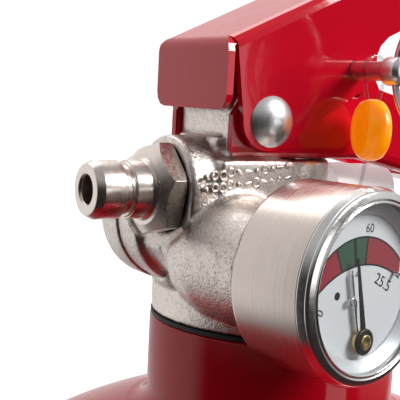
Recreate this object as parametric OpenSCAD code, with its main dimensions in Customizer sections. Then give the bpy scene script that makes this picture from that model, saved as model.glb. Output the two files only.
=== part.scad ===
// Portable stored-pressure fire extinguisher with a squeeze-grip valve and a pressure gauge.
// +Z is up along the cylinder's axis, and the origin is on that axis at floor level.
// The outlet nipple points along -X, the two grips along +X, and the gauge towards -Y.
// Heights in the Valve, Grips and Gauge sections are measured from the top face of the neck.

/* [Cylinder] */
// Outside diameter of the pressure cylinder
cylinder_d = 150; // [146:1:156]
// Wall thickness of the pressure cylinder
wall_t = 1.6; // [1.2:0.1:2.2]
// Crown radius of the two dished ends
crown_r = 110; // [105:1:120]
// Knuckle radius where a dished end meets the straight wall
knuckle_r = 30; // [26:1:34]
// Height of the neck's top face above the floor
neck_top = 455; // [430:1:520]
// Outside diameter of the neck
neck_d = 54; // [53:0.5:56]
// Distance from the neck's top face down to the crown of the upper end
crown_drop = 16.8; // [14:0.1:22]
// Height of the lower end's crown above the floor
base_gap = 8; // [6:0.5:12]
// Height of the plastic foot ring
foot_h = 46; // [40:1:50]
// Outside diameter of the siphon tube
siphon_d = 12; // [11:0.5:13]

/* [Valve] */
// Thickness of the flange that clamps the valve to the neck
flange_h = 6.4; // [6:0.1:7]
// Height of the outlet's axis
outlet_z = 27.4; // [27:0.1:28]
// Distance from the cylinder's axis to the outlet nipple's front face
outlet_reach = 46.8; // [46:0.1:50]
// Outside diameter of the outlet nipple's spigot
spigot_d = 11.6; // [11:0.1:12]
// Bore of the outlet nipple
outlet_bore_d = 5.5; // [4:0.1:6]
// Size across the flats of the outlet nipple's hexagon
hex_af = 17; // [16.5:0.1:18]
// Radius of the casting's boss behind the hexagon
outlet_boss_r = 11; // [10:0.1:11.5]
// Diameter of the valve stem
stem_d = 6; // [5.5:0.1:6]

/* [Grips] */
// Thickness of the pressed steel sheet of both grips
sheet_t = 1.5; // [1.2:0.1:1.6]
// Outside width of the upper grip
lever_w = 26.4; // [26.4:0.1:27]
// Sideways gap between the upper grip and the lower grip
grip_gap = 0.3; // [0.25:0.05:0.4]
// Distance of the pivot rivet from the cylinder's axis, on the outlet's side
pivot_back = 13.15; // [13:0.05:13.4]
// Height of the pivot rivet
pivot_z = 42; // [41.8:0.1:42.2]
// Slope of the upper grip over the valve, in degrees
lever_slope = 24.8; // [24:0.1:26]
// Slope of the upper grip's far half, in degrees
palm_slope = 10; // [8:0.5:12]
// Distance of the upper grip's tip from the cylinder's axis
lever_reach = 98; // [90:1:110]
// Downward slope of the lower grip, in degrees
handle_slope = 12; // [10:0.5:13]
// Distance of the lower grip's tip from the cylinder's axis
handle_reach = 88; // [80:1:95]
// How far the upper grip turns when it is squeezed, in degrees
squeeze_angle = 9; // [5:0.5:9]
// Diameter of the safety pin's rod
pin_d = 4; // [3.5:0.1:4]
// Inside diameter of the pull ring
ring_bore_d = 24; // [20:1:28]

/* [Gauge] */
// Outside diameter of the gauge's case
gauge_d = 35.3; // [35:0.1:36]
// Angle of the gauge's axis from -Y, turned towards the grips
gauge_turn = 9.47; // [8:0.1:11]
// Height of the gauge's axis
gauge_z = 14.7; // [14:0.1:15]
// Distance of the gauge's axis from the cylinder's axis, on the outlet's side
gauge_back = 20.4; // [20:0.1:20.6]
// Length of the pointer from its pivot to its tip
pointer_len = 15.5; // [14.5:0.1:15.6]

/* [Hidden] */
$fn = 96;
clear = 0.05;
run_clear = 0.1;
eps = 0.01;

cyl_r = cylinder_d / 2;
neck_r = neck_d / 2;
knuckle_x = cyl_r - knuckle_r;
knuckle_drop = sqrt(pow(crown_r - knuckle_r, 2) - pow(knuckle_x, 2));
dish_h = crown_r - knuckle_drop;
crown_top = neck_top - crown_drop;
upper_knuckle_z = crown_top - dish_h;
lower_knuckle_z = base_gap + dish_h;
gasket_h = 0.8;
thread_r = 18;
shank_h = 26;
neck_inside_h = 32;
weld_r = 4.5;

foot_wall = 1.3;
foot_fit = 0.15;
foot_r = cyl_r + foot_fit + foot_wall;
foot_lip_r = 60;
foot_floor_h = 2.5;

label_low = 150;
label_high = 330;
label_angle = 200;
label_t = 0.2;

holder_r = 11;
holder_low = -26;
holder_high = -12;
siphon_r = siphon_d / 2;
siphon_low = 15;
spring_chamber_r = 8.5;
seat_z = 10;
seat_r = 5.2;
stem_chamber_r = 6;
stem_r = stem_d / 2;
stem_gap = 0.6;
gland_r = 7;
gland_low = 31.5;
web_z = 34.5;
gland_seat_z = web_z + sheet_t + clear;
gland_head_h = 4.2;
poppet_r = 7.2;
poppet_h = 3;
washer_h = 1.6;
guide_r = 3.4;
guide_h = 4;
spring_coil_r = 5.6;
spring_wire_r = 0.7;
spring_turns = 5;
packing_r = 0.95;
gland_hex_r = 7.5;

shoulder_z = 34.3;
shoulder_w = 23;
shoulder_back = 23;
shoulder_front = 5;
core_low = 11;
core_r = 10.2;
block_z = 38.5;
block_back = 22;
block_w = 15;
pillar_w = 19.4;
pillar_left = -20.2;
pillar_right = -8.2;
pillar_r = 6.6;
outlet_face = -29.4;
flange_r = neck_r - 0.2;
waist_low_r = 26.2;
waist_high_r = 14;
waist_top_z = 20;
belly_r = 11;

side_x = -18.4;
side_z = 20.3;
side_boss_r = 14.2;
side_root_r = 12.6;
side_root_h = 6;
side_face = 14;
side_cap_r = 14.6;
side_cap_end = 22.5;
side_plug_r = 8;
side_plug_low = 8;
side_gap = 0.1;
side_seal_r = 11.4;
side_groove_h = 1.2;

hex_back = outlet_face - clear;
hex_front = -32.6;
hex_h = 4.6;
hex_turn = -15.1;
spigot_back = -34.3;
spigot_r = spigot_d / 2;
outlet_bore_r = outlet_bore_d / 2;
nipple_shank_r = 6.2;
nipple_shank_end = -17;
nipple_seal_r = 8.2;
nipple_groove_h = 1.4;
inlet_bore_r = outlet_bore_r + 0.9;
bore_step = -31;
groove_centre = -39.6;
groove_w = 1.8;
groove_depth = 0.9;
nose_bevel = 1.4;
nose_r = 5;

relief_neck_r = 3.2;
relief_collar_r = 5.6;
relief_r = 5.3;
relief_collar_x = 11.5;
relief_cap_x = 18;
relief_end_x = 30;
relief_bore_r = 3.6;
relief_port_r = 1.2;
relief_seat_x = 15.5;
relief_bore_h = 13;
relief_disc_h = 2.4;

pivot_x = -pivot_back;
rivet_r = 2.5;
rivet_head_r = 5.1;
rivet_head_h = 2.4;
rivet_tail_r = 4.6;
bend_r = 2.4;
lever_half = lever_w / 2;
handle_half = lever_half - sheet_t - grip_gap;
flap_x = -24.3;
flap_low = 43.9;
flap_high = 57.5;
fold_r = 2.6;
flap_corner_r = 3;
bend_x = 32;
lever_depth = 15.6;
tip_depth = 12;
web_high_z = flap_high + (bend_x - flap_x) * tan(lever_slope);
fold_z = flap_high + fold_r * tan(lever_slope) - fold_r / cos(lever_slope);
tip_high_z = web_high_z + (lever_reach - bend_x) * tan(palm_slope);
ear_r = 6.1;
ear_x = pivot_x - 0.75;
ear_z = pivot_z + 0.3;
step_x = 13.5;
step_low = 51;
pin_x = 7.9;
pin_z = 53.2;
pin_arm = norm([pin_x - pivot_x, pin_z - pivot_z]);
pin_angle = atan2(pin_z - pivot_z, pin_x - pivot_x);
pin_r = pin_d / 2;
slot_half = pin_r + 0.35;
handle_dip_x = 8;
handle_tip_depth = 15;
pin_eye_r = 5.4;
relief_slot_w = 13;
stem_top_z = flap_high + (0 - flap_x) * tan(lever_slope) - sheet_t / cos(lever_slope) - stem_gap;

pin_far_y = 17;
pin_near_y = -22.6;
crimp_len = 5;
crimp_r = 2.9;
ring_wire_r = 1;
ring_r = ring_bore_d / 2 + ring_wire_r;
ring_y = pin_near_y - crimp_len - ring_r + ring_wire_r + 1.4;

seal_r = 6.3;
seal_t = 5.2;
seal_y = -18.9;
seal_z = 41.2;
seal_turn = -21.8;
thread_wire_r = 0.45;
thread_loop_r = pin_r + 0.55 + thread_wire_r;
thread_low = seal_z + seal_r - 2.2;
thread_low_x = 1.1;

gauge_r = gauge_d / 2;
case_back = 27.8;
case_front = 43.4;
case_wall = 0.7;
case_floor = 1;
case_hole_r = 4.45;
bezel_r = gauge_r + 0.2;
bezel_shoulder = 45.2;
bezel_front = 46.1;
bezel_lip_r = 14.9;
window_back = 44.95;
window_t = 0.6;
window_r = 15.6;
dial_front = 42.95;
dial_t = 0.5;
dial_r = gauge_r - case_wall - 0.2;
pivot_v = -9.6;
pointer_rest = 12;
pointer_back = 44.15;
pointer_t = 0.3;
hub_r = 2.4;
hub_t = 0.45;
hub_back = 43.5;
hub_cap_r = 1.4;
hub_front = 44.88;
shaft_r = 0.7;
shaft_front = 43.4;
spacer_r = 12.9;
stop_r = 0.4;
stop_h = 1.4;
high_stop_angle = 38;
high_stop_reach = 14.4;
boss_face = 24;
gauge_boss_r = 12.6;
boss_root = 2;
boss_root_end = 9;
socket_r = 5;
socket_af = 14;
bourdon_r = 9;
bourdon_tube_r = 1.2;
bourdon_z = 39.5;
frame_back = 37;
gear_front = 42.4;

CAST = [0.80, 0.76, 0.72];
NICKEL = [0.78, 0.73, 0.69];
STEEL = [0.70, 0.71, 0.73];
RED = [0.77, 0.02, 0.09];
BRASS = [0.78, 0.62, 0.30];
BLACK = [0.06, 0.06, 0.06];
WHITE = [0.93, 0.93, 0.92];

// ---- frames -------------------------------------------------------------------------------

// Raises its children to the top face of the neck.
module on_neck() {
  translate([0, 0, neck_top]) children();
}

// Turns a shape drawn along +Z so that it points along -X.
module to_outlet() {
  rotate([0, -90, 0]) children();
}

// Draws an X-Z outline as a plate between two Y values.
module plate(low_y, high_y) {
  translate([0, high_y, 0]) rotate([90, 0, 0]) linear_extrude(high_y - low_y) children();
}

// A rod along Y between two Y values.
module cross_rod(x, z, r, low_y, high_y) {
  translate([x, high_y, z]) rotate([90, 0, 0]) cylinder(r = r, h = high_y - low_y);
}

// A rod between two points.
module rod_between(start, end, r) {
  span = end - start;
  translate(start) rotate([0, acos(span.z / norm(span)), atan2(span.y, span.x)])
    cylinder(r = r, h = norm(span));
}

// The gauge's frame, from the neck's top face: +X right and +Y up on the dial, +Z out of its face.
module to_gauge() {
  translate([-gauge_back, 0, gauge_z]) rotate([0, 0, gauge_turn]) rotate([90, 0, 0]) children();
}

// The gauge's frame at its place over the floor.
module gauge_frame() {
  on_neck() to_gauge() children();
}

// A ring or disc around the gauge's axis.
module gauge_ring(inner, outer, low, high) {
  gauge_frame() difference() {
    translate([0, 0, low]) cylinder(r = outer, h = high - low);
    if (inner > 0) translate([0, 0, low - 1]) cylinder(r = inner, h = high - low + 2);
  }
}

// A coil spring of round wire along +Z, swept as one closed tube.
module coil_spring(coil_r, wire_r, length, turns) {
  steps = 20 * turns;
  sides = 8;
  rings = [for (i = [0 : steps]) for (k = [0 : sides - 1])
    let (turn = 360 * turns * i / steps, side = 360 * k / sides, r = coil_r + wire_r * cos(side))
    [r * cos(turn), r * sin(turn), length * i / steps + wire_r * sin(side)]];
  walls = [for (i = [0 : steps - 1]) for (k = [0 : sides - 1])
    let (a = i * sides + k, b = i * sides + (k + 1) % sides) [a, a + sides, b + sides, b]];
  low_cap = [[for (k = [0 : sides - 1]) k]];
  high_cap = [[for (k = [sides - 1 : -1 : 0]) steps * sides + k]];
  polyhedron(rings, concat(low_cap, walls, high_cap));
}

// ---- cylinder -----------------------------------------------------------------------------

// Half section of a dished end, inset from the outside, with its knuckle centre at height 0.
module dish_section(inset) {
  reach = 2.5 * crown_r / (crown_r - knuckle_r);
  intersection() {
    translate([0, -knuckle_drop]) circle(crown_r - inset);
    polygon([[0, -knuckle_drop], [knuckle_x * reach, knuckle_drop * (reach - 1)], [0, 3 * crown_r]]);
  }
  translate([knuckle_x, 0]) circle(knuckle_r - inset);
}

// Half section of the whole closed bottle.
module bottle_section(inset) {
  translate([0, upper_knuckle_z]) dish_section(inset);
  translate([0, lower_knuckle_z]) mirror([0, 1]) dish_section(inset);
  translate([0, lower_knuckle_z]) square([cyl_r - inset, upper_knuckle_z - lower_knuckle_z]);
}

module cylinder_shell() {
  color(RED) difference() {
    rotate_extrude() bottle_section(0);
    rotate_extrude() bottle_section(wall_t);
    translate([0, 0, upper_knuckle_z]) cylinder(r = neck_r + clear, h = neck_top);
  }
}

module neck_ring() {
  weld_z = -crown_drop - crown_r + sqrt(pow(crown_r, 2) - pow(neck_r + weld_r, 2));
  color(RED) on_neck() rotate_extrude() difference() {
    union() {
      polygon([[thread_r, -neck_inside_h], [neck_r, -neck_inside_h], [neck_r, -gasket_h - 0.5],
        [neck_r - 0.5, -gasket_h], [thread_r, -gasket_h]]);
      translate([neck_r - 1, weld_z]) square([weld_r + 1, weld_r + 1]);
    }
    translate([neck_r + weld_r, weld_z + weld_r + 0.3]) circle(weld_r);
    translate([neck_r, weld_z + weld_r + 0.3]) square(2 * weld_r);
  }
}

module foot_ring() {
  color(BLACK) rotate_extrude() polygon([[foot_lip_r, 0], [foot_r - 1, 0], [foot_r, 1],
    [foot_r, foot_h - 1], [foot_r - 1, foot_h], [foot_r - foot_wall, foot_h],
    [foot_r - foot_wall, foot_floor_h], [foot_lip_r, foot_floor_h]]);
}

module label_band() {
  color(WHITE) rotate([0, 0, -90 - label_angle / 2]) rotate_extrude(angle = label_angle)
    translate([cyl_r + clear, label_low]) square([label_t, label_high - label_low]);
}

module siphon_tube() {
  tube_h = neck_top + holder_high - 2 - siphon_low;
  color(WHITE) difference() {
    translate([0, 0, siphon_low]) cylinder(r = siphon_r, h = tube_h);
    translate([0, 0, siphon_low - 1]) cylinder(r = siphon_r - 1, h = tube_h + 2);
  }
}

module siphon_holder() {
  color(BRASS) on_neck() rotate_extrude() polygon([[siphon_r + clear, holder_low - 8],
    [siphon_r + 2.5, holder_low - 8], [siphon_r + 2.5, holder_low], [holder_r, holder_low],
    [holder_r, holder_high], [siphon_r - 1.5, holder_high], [siphon_r - 1.5, holder_high - 1.9],
    [siphon_r + clear, holder_high - 1.9]]);
}

module neck_gasket() {
  color(BLACK) on_neck() difference() {
    translate([0, 0, -gasket_h]) cylinder(r = neck_r - 0.15, h = gasket_h);
    translate([0, 0, -gasket_h - 1]) cylinder(r = thread_r + 2, h = gasket_h + 2);
  }
}

// ---- valve --------------------------------------------------------------------------------

// Outside of the casting, before its bores are cut.
module casting_blank() {
  translate([0, 0, -shank_h]) cylinder(r = thread_r - clear, h = shank_h + eps);
  cylinder(r = flange_r, h = flange_h);
  translate([0, 0, flange_h - eps])
    cylinder(r1 = waist_low_r, r2 = waist_high_r, h = waist_top_z - flange_h);
  translate([-shoulder_back, -shoulder_w / 2, core_low])
    cube([shoulder_back - shoulder_front, shoulder_w, shoulder_z - core_low]);
  translate([0, 0, core_low]) cylinder(r = core_r, h = shoulder_z - core_low);
  translate([-block_back, -block_w / 2, shoulder_z - 1])
    cube([block_back + pillar_right, block_w, block_z - shoulder_z + 1]);
  plate(-pillar_w / 2, pillar_w / 2) union() {
    translate([pillar_left, shoulder_z - 1])
      square([pillar_right - pillar_left, pivot_z - shoulder_z + 3]);
    translate([pivot_x, pivot_z]) intersection() {
      circle(pillar_r + 0.9);
      translate([pillar_left - pivot_x, 0]) square([pillar_right - pillar_left, 20]);
    }
  }
  translate([outlet_face, 0, outlet_z]) rotate([0, 90, 0])
    cylinder(r = outlet_boss_r, h = -outlet_face - 8);
  translate([side_x, 0, side_z]) rotate([-90, 0, 0]) {
    cylinder(r = side_root_r, h = side_face);
    translate([0, 0, side_root_h]) cylinder(r = side_boss_r, h = side_face - side_root_h);
  }
  rod_between([side_x, side_face, side_z], [side_x, -boss_root_end, gauge_z + 1], belly_r);
  to_gauge() {
    translate([0, 0, boss_root])
      cylinder(r1 = gauge_boss_r - 2, r2 = gauge_boss_r, h = boss_root_end - boss_root);
    translate([0, 0, boss_root_end - eps]) cylinder(r = gauge_boss_r, h = boss_face - boss_root_end);
  }
}

module valve_body() {
  color(CAST) on_neck() difference() {
    casting_blank();
    translate([0, 0, -shank_h - 1]) cylinder(r = holder_r + clear, h = shank_h + 1 + holder_high);
    translate([0, 0, holder_high - eps])
      cylinder(r = spring_chamber_r, h = seat_z - holder_high + eps);
    translate([0, 0, seat_z - eps]) cylinder(r = seat_r, h = 5);
    translate([0, 0, seat_z + 4]) cylinder(r = stem_chamber_r, h = gland_low - seat_z - 4 + eps);
    translate([0, 0, gland_low]) cylinder(r = gland_r + clear, h = 20);
    translate([0, 0, outlet_z]) to_outlet() {
      cylinder(r = outlet_bore_r + 1, h = -outlet_face + 1);
      translate([0, 0, -nipple_shank_end]) cylinder(r = nipple_shank_r + clear, h = 30);
      translate([0, 0, -outlet_face - nipple_groove_h])
        cylinder(r = nipple_seal_r + 0.2, h = nipple_groove_h + 1);
    }
    // Machined seats round the nipple, the relief valve and the side cap.
    translate([outlet_face - 10, 0, outlet_z]) rotate([0, 90, 0])
      cylinder(r = outlet_boss_r + 0.6, h = 10);
    translate([relief_collar_x - 0.3, 0, outlet_z]) rotate([0, 90, 0])
      cylinder(r = relief_collar_r + 0.5, h = 20);
    translate([side_x, side_face, side_z]) rotate([-90, 0, 0])
      cylinder(r = side_cap_r + 0.5, h = 20);
    translate([0, 0, outlet_z]) rotate([0, 90, 0]) cylinder(r = relief_neck_r + clear, h = 20);
    cross_rod(pivot_x, pivot_z, rivet_r + clear, -20, 20);
    translate([side_x, side_plug_low - 0.3, side_z]) rotate([-90, 0, 0])
      cylinder(r = side_plug_r + clear, h = 20);
    translate([side_x, side_face - side_groove_h, side_z]) rotate([-90, 0, 0])
      cylinder(r = side_seal_r + clear, h = 20);
    to_gauge() {
      translate([0, 0, 3]) cylinder(r = 1.6, h = 20);
      translate([0, 0, 11]) cylinder(r = socket_r + clear, h = 20);
      translate([0, 0, case_back - 0.3]) cylinder(r = gauge_r + 0.3, h = 20);
    }
  }
}

module valve_stem() {
  dome_z = stem_top_z - stem_r;
  color(STEEL) on_neck() {
    translate([0, 0, seat_z - washer_h - poppet_h - guide_h])
      cylinder(r = guide_r, h = guide_h + eps);
    translate([0, 0, seat_z - washer_h - poppet_h]) cylinder(r = poppet_r, h = poppet_h);
    translate([0, 0, seat_z - washer_h - eps]) cylinder(r = stem_r, h = dome_z - seat_z + washer_h);
    translate([0, 0, dome_z]) intersection() {
      sphere(stem_r);
      translate([-stem_r, -stem_r, -eps]) cube(2 * stem_r);
    }
  }
}

module seat_washer() {
  color(BLACK) on_neck() difference() {
    translate([0, 0, seat_z - washer_h]) cylinder(r = poppet_r, h = washer_h - eps);
    translate([0, 0, seat_z - washer_h - 1]) cylinder(r = stem_r + clear, h = washer_h + 2);
  }
}

module stem_seal() {
  color(BLACK) on_neck() translate([0, 0, gland_low + 1.6]) rotate_extrude()
    translate([stem_r + packing_r + 0.15, 0]) circle(packing_r, $fn = 32);
}

module stem_spring() {
  low = holder_high + spring_wire_r + clear;
  high = seat_z - washer_h - poppet_h - spring_wire_r - clear;
  color(STEEL) on_neck() translate([0, 0, low])
    coil_spring(spring_coil_r, spring_wire_r, high - low, spring_turns);
}

module gland_nut() {
  color(NICKEL) on_neck() difference() {
    union() {
      translate([0, 0, gland_low]) cylinder(r = gland_r, h = gland_seat_z - gland_low + eps);
      translate([0, 0, gland_seat_z]) cylinder(r = gland_hex_r, h = gland_head_h, $fn = 6);
    }
    translate([0, 0, gland_low - 1]) cylinder(r = stem_r + run_clear, h = 20);
    translate([0, 0, gland_low - 1]) cylinder(r = stem_r + 2 * packing_r + 0.2, h = 3.8);
  }
}

module outlet_nipple() {
  hex_r = hex_af / 2 / cos(30);
  color(NICKEL) on_neck() translate([0, 0, outlet_z]) to_outlet() difference() {
    union() {
      rotate_extrude() polygon([[0, -nipple_shank_end], [nipple_shank_r, -nipple_shank_end],
        [nipple_shank_r, -hex_back + eps], [spigot_r + 0.6, -hex_back + 1],
        [spigot_r + 0.6, -spigot_back - 0.5], [spigot_r, -spigot_back],
        [spigot_r, -groove_centre - groove_w / 2],
        [spigot_r - groove_depth, -groove_centre - groove_w / 2 + 0.4],
        [spigot_r - groove_depth, -groove_centre + groove_w / 2 - 0.4],
        [spigot_r, -groove_centre + groove_w / 2], [spigot_r, outlet_reach - nose_bevel],
        [nose_r, outlet_reach], [0, outlet_reach]]);
      intersection() {
        rotate([0, 0, hex_turn]) translate([0, 0, -hex_back])
          cylinder(r = hex_r, h = hex_h + 1, $fn = 6);
        translate([0, 0, -hex_back]) rotate_extrude() polygon([[0, 0], [hex_r - 0.2, 0],
          [hex_r + 0.1, 0.2], [hex_r + 0.1, -hex_front + hex_back - 0.3],
          [spigot_r + 0.9, hex_h], [0, hex_h]]);
      }
    }
    cylinder(r = outlet_bore_r, h = outlet_reach + 1);
    cylinder(r = inlet_bore_r, h = -bore_step);
    translate([0, 0, outlet_reach - 0.5]) cylinder(r1 = outlet_bore_r, r2 = outlet_bore_r + 0.6,
      h = 0.6);
  }
}

module nipple_seal() {
  color(BLACK) on_neck() translate([0, 0, outlet_z]) to_outlet()
    translate([0, 0, -outlet_face - nipple_groove_h + 0.1]) difference() {
      cylinder(r = nipple_seal_r, h = nipple_groove_h - 0.2);
      translate([0, 0, -1]) cylinder(r = nipple_shank_r + clear, h = nipple_groove_h + 2);
    }
}

// Pressure relief valve on the outlet's axis, at the grips' side.
module relief_body() {
  color(NICKEL) on_neck() translate([0, 0, outlet_z]) rotate([0, 90, 0]) difference() {
    rotate_extrude() polygon([[0, stem_chamber_r + 0.5], [relief_neck_r, stem_chamber_r + 0.5],
      [relief_neck_r, relief_collar_x], [relief_collar_r, relief_collar_x + 0.6],
      [relief_collar_r, relief_cap_x - 0.6], [relief_r, relief_cap_x - 0.3],
      [relief_r, relief_end_x - 1.6], [relief_r - 0.5, relief_end_x - 0.5],
      [relief_r - 1.6, relief_end_x], [0, relief_end_x]]);
    cylinder(r = relief_port_r, h = relief_seat_x + 1);
    translate([0, 0, relief_seat_x]) cylinder(r = relief_bore_r, h = relief_bore_h);
    translate([0, 0, relief_end_x - 3]) cylinder(r = relief_port_r, h = 5);
  }
}

module relief_poppet() {
  color(BLACK) on_neck() translate([relief_seat_x + clear, 0, outlet_z]) rotate([0, 90, 0]) {
    cylinder(r = relief_bore_r - 0.3, h = relief_disc_h);
    cylinder(r = 1.4, h = 6);
  }
}

module relief_spring() {
  wire_r = 0.4;
  low = relief_seat_x + relief_disc_h + wire_r + 0.3;
  high = relief_seat_x + relief_bore_h - wire_r - 0.3;
  color(STEEL) on_neck() translate([low, 0, outlet_z]) rotate([0, 90, 0])
    coil_spring(2.5, wire_r, high - low, 6);
}

module side_cap() {
  color(NICKEL) on_neck() translate([side_x, 0, side_z]) rotate([-90, 0, 0]) rotate_extrude()
    polygon([[0, side_plug_low], [side_plug_r, side_plug_low], [side_plug_r, side_face + side_gap],
      [side_cap_r, side_face + side_gap], [side_cap_r, side_cap_end - 2.4],
      [side_cap_r - 0.7, side_cap_end - 0.7], [side_cap_r - 2.4, side_cap_end],
      [0, side_cap_end]]);
}

module side_cap_seal() {
  color(BLACK) on_neck() translate([side_x, 0, side_z]) rotate([-90, 0, 0]) difference() {
    translate([0, 0, side_face - side_groove_h + clear]) cylinder(r = side_seal_r, h = side_groove_h);
    cylinder(r = side_plug_r + clear, h = 30);
  }
}

// ---- grips --------------------------------------------------------------------------------

// A rectangle with rounded top corners, whose top edge is at -drop.
module rounded_top(half, depth, corner, drop) {
  translate([-half, -depth - drop]) square([2 * half, depth - corner]);
  translate([-half + corner, -depth]) square([2 * (half - corner), depth - drop]);
  for (side = [-1, 1]) translate([side * (half - corner), -drop - corner]) circle(corner, $fn = 12);
}

// A long bar with rounded top edges that rises at a slope through the origin.
module sloped_bar(half, corner, drop, slope, back) {
  rotate([0, -slope, 0]) translate([-back, 0, 0]) rotate([90, 0, 90]) linear_extrude(back + 200)
    rounded_top(half, 60, corner, drop);
}

// Side outline of the upper grip's legs.
module lever_outline() {
  rise = tan(lever_slope);
  low_z = function (x) flap_high + (x - flap_x) * rise - lever_depth;
  tip_z = tip_high_z - tip_depth;
  fold = [flap_x + fold_r, fold_z];
  fold_normal = [-sin(lever_slope), cos(lever_slope)];
  difference() {
    union() {
      polygon([fold + 12 * fold_normal, fold + (fold_r - sheet_t) * fold_normal,
        [ear_x - ear_r + 0.1, ear_z - 0.6],
        [ear_x, ear_z], [ear_x + ear_r * sin(29.9), ear_z - ear_r * cos(29.9)],
        [step_x - 0.9, step_low - 0.5], [step_x, step_low + 0.6], [step_x, low_z(step_x) - 2.6],
        [step_x + 0.9, low_z(step_x) - 0.6], [step_x + 3, low_z(step_x + 3)],
        [bend_x, low_z(bend_x)], [lever_reach - 5, tip_z - 0.3], [lever_reach - 1.4, tip_z + 1.4],
        [lever_reach, tip_z + 5], [lever_reach, tip_high_z + 20]]);
      translate([ear_x, ear_z]) circle(ear_r);
    }
    translate([pivot_x, pivot_z]) circle(rivet_r + run_clear);
    translate([pin_x, pin_z]) circle(pin_r + run_clear);
  }
}

// The upper grip's bent channel: its web is at the top and bends down at the origin.
module lever_channel() {
  inner = lever_half - sheet_t;
  difference() {
    intersection() {
      sloped_bar(lever_half, bend_r, 0, lever_slope, 200);
      sloped_bar(lever_half, bend_r, 0, palm_slope, 200);
    }
    intersection() {
      sloped_bar(inner, bend_r - sheet_t, sheet_t, lever_slope, 210);
      sloped_bar(inner, bend_r - sheet_t, sheet_t, palm_slope, 210);
    }
  }
}

// The tab folded down at the pivot end, with its bend.
module lever_flap() {
  top_z = fold_z + fold_r * cos(lever_slope);
  intersection() {
    plate(-lever_half, lever_half) {
      translate([flap_x, flap_low]) square([sheet_t, fold_z - flap_low]);
      translate([flap_x + fold_r, fold_z]) {
        intersection() {
          difference() {
            circle(fold_r);
            circle(fold_r - sheet_t);
          }
          polygon([[0, 0], [-3 * fold_r, 0], [-3 * fold_r, 3 * fold_r],
            3 * fold_r * [-sin(lever_slope), cos(lever_slope)]]);
        }
        rotate(lever_slope) translate([0, fold_r - sheet_t]) square([1.5, sheet_t]);
      }
    }
    translate([-50, 0, top_z]) rotate([90, 0, 90]) linear_extrude(50)
      rounded_top(lever_half, 40, flap_corner_r, 0);
    translate([-50, 0, flap_low]) mirror([0, 0, 1]) rotate([90, 0, 90]) linear_extrude(50)
      rounded_top(lever_half, 40, flap_corner_r, 0);
  }
}

module operating_lever() {
  color(RED) on_neck() {
    intersection() {
      translate([bend_x, 0, web_high_z]) lever_channel();
      plate(-20, 20) lever_outline();
    }
    lever_flap();
  }
}

// Height of the lower grip's lower edge at a distance from the cylinder's axis.
function handle_low(x) = web_z - max(0, x - handle_dip_x - 6) * tan(handle_slope);

// Side outline of the lower grip's legs.
module handle_outline() {
  tip_low = handle_low(handle_reach);
  tip_high = tip_low + handle_tip_depth;
  difference() {
    union() {
      polygon([[-21.3, web_z + 1.6], [-19, web_z - 0.7], [-10, web_z - 3], [0, web_z - 3],
        [30, handle_low(30) - 3], [handle_reach - 7, tip_low - 1.5],
        [handle_reach - 1.2, tip_low + 2], [handle_reach, tip_low + 5],
        [handle_reach, tip_high - 4], [handle_reach - 1.2, tip_high - 1.2],
        [handle_reach - 4, tip_high], [22.6, 48.2], [16.5, 49.6],
        [pin_x + 3.5, pin_z + 4.4], [pin_x - 2.4, pin_z + 4.8],
        [pivot_x + 2.6, pivot_z + 6.2], [pivot_x, pivot_z + 6.6], [pivot_x - 5, pivot_z + 5.4],
        [-21.3, pivot_z + 1]]);
      translate([pin_x, pin_z]) circle(pin_eye_r);
    }
    translate([pivot_x, pivot_z]) circle(rivet_r + clear);
    pin_slot();
  }
}

// Curved slot that the safety pin follows when the upper grip turns about the pivot.
module pin_slot() {
  low_angle = pin_angle - squeeze_angle;
  mid_angle = pin_angle - squeeze_angle / 2;
  far = pin_arm + 10;
  translate([pivot_x, pivot_z]) {
    intersection() {
      difference() {
        circle(pin_arm + slot_half);
        circle(pin_arm - slot_half);
      }
      polygon([[0, 0], far * [cos(low_angle), sin(low_angle)],
        1.1 * far * [cos(mid_angle), sin(mid_angle)], far * [cos(pin_angle), sin(pin_angle)]]);
    }
    for (angle = [low_angle, pin_angle])
      translate(pin_arm * [cos(angle), sin(angle)]) circle(slot_half);
  }
}

// The lower grip's bent channel, upside down: its web bends up at the origin.
module handle_channel() {
  inner = handle_half - sheet_t;
  difference() {
    union() {
      sloped_bar(handle_half, bend_r, 0, 0, 60);
      sloped_bar(handle_half, bend_r, 0, handle_slope, 60);
    }
    sloped_bar(inner, bend_r - sheet_t, sheet_t, 0, 70);
    sloped_bar(inner, bend_r - sheet_t, sheet_t, handle_slope, 70);
  }
}

module carry_handle() {
  opening_w = pillar_w + 0.4;
  color(RED) on_neck() difference() {
    intersection() {
      translate([handle_dip_x + 6, 0, web_z]) mirror([0, 0, 1]) handle_channel();
      plate(-20, 20) handle_outline();
    }
    translate([-40, -opening_w / 2, web_z - 5]) cube([40 + pillar_right + 0.2, opening_w, 12]);
    translate([0, 0, web_z - 5]) cylinder(r = gland_r + 0.15, h = 12);
    translate([relief_cap_x - 8, -relief_slot_w / 2, web_z - 12])
      cube([relief_end_x - 7, relief_slot_w, 16]);
  }
}

module pivot_rivet() {
  head_sphere = (pow(rivet_head_r, 2) + pow(rivet_head_h, 2)) / (2 * rivet_head_h);
  tail_h = 2;
  tail_sphere = (pow(rivet_tail_r, 2) + pow(tail_h, 2)) / (2 * tail_h);
  head_y = lever_half + 0.1;
  color(STEEL) on_neck() translate([pivot_x, 0, pivot_z]) {
    cross_rod(0, 0, rivet_r, -head_y - eps, head_y + eps);
    intersection() {
      translate([0, -head_y - rivet_head_h + head_sphere, 0]) sphere(head_sphere);
      cross_rod(0, 0, rivet_head_r + 1, -head_y - 5, -head_y);
    }
    intersection() {
      translate([0, head_y + tail_h - tail_sphere, 0]) sphere(tail_sphere);
      cross_rod(0, 0, rivet_tail_r + 1, head_y, head_y + 5);
    }
  }
}

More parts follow.
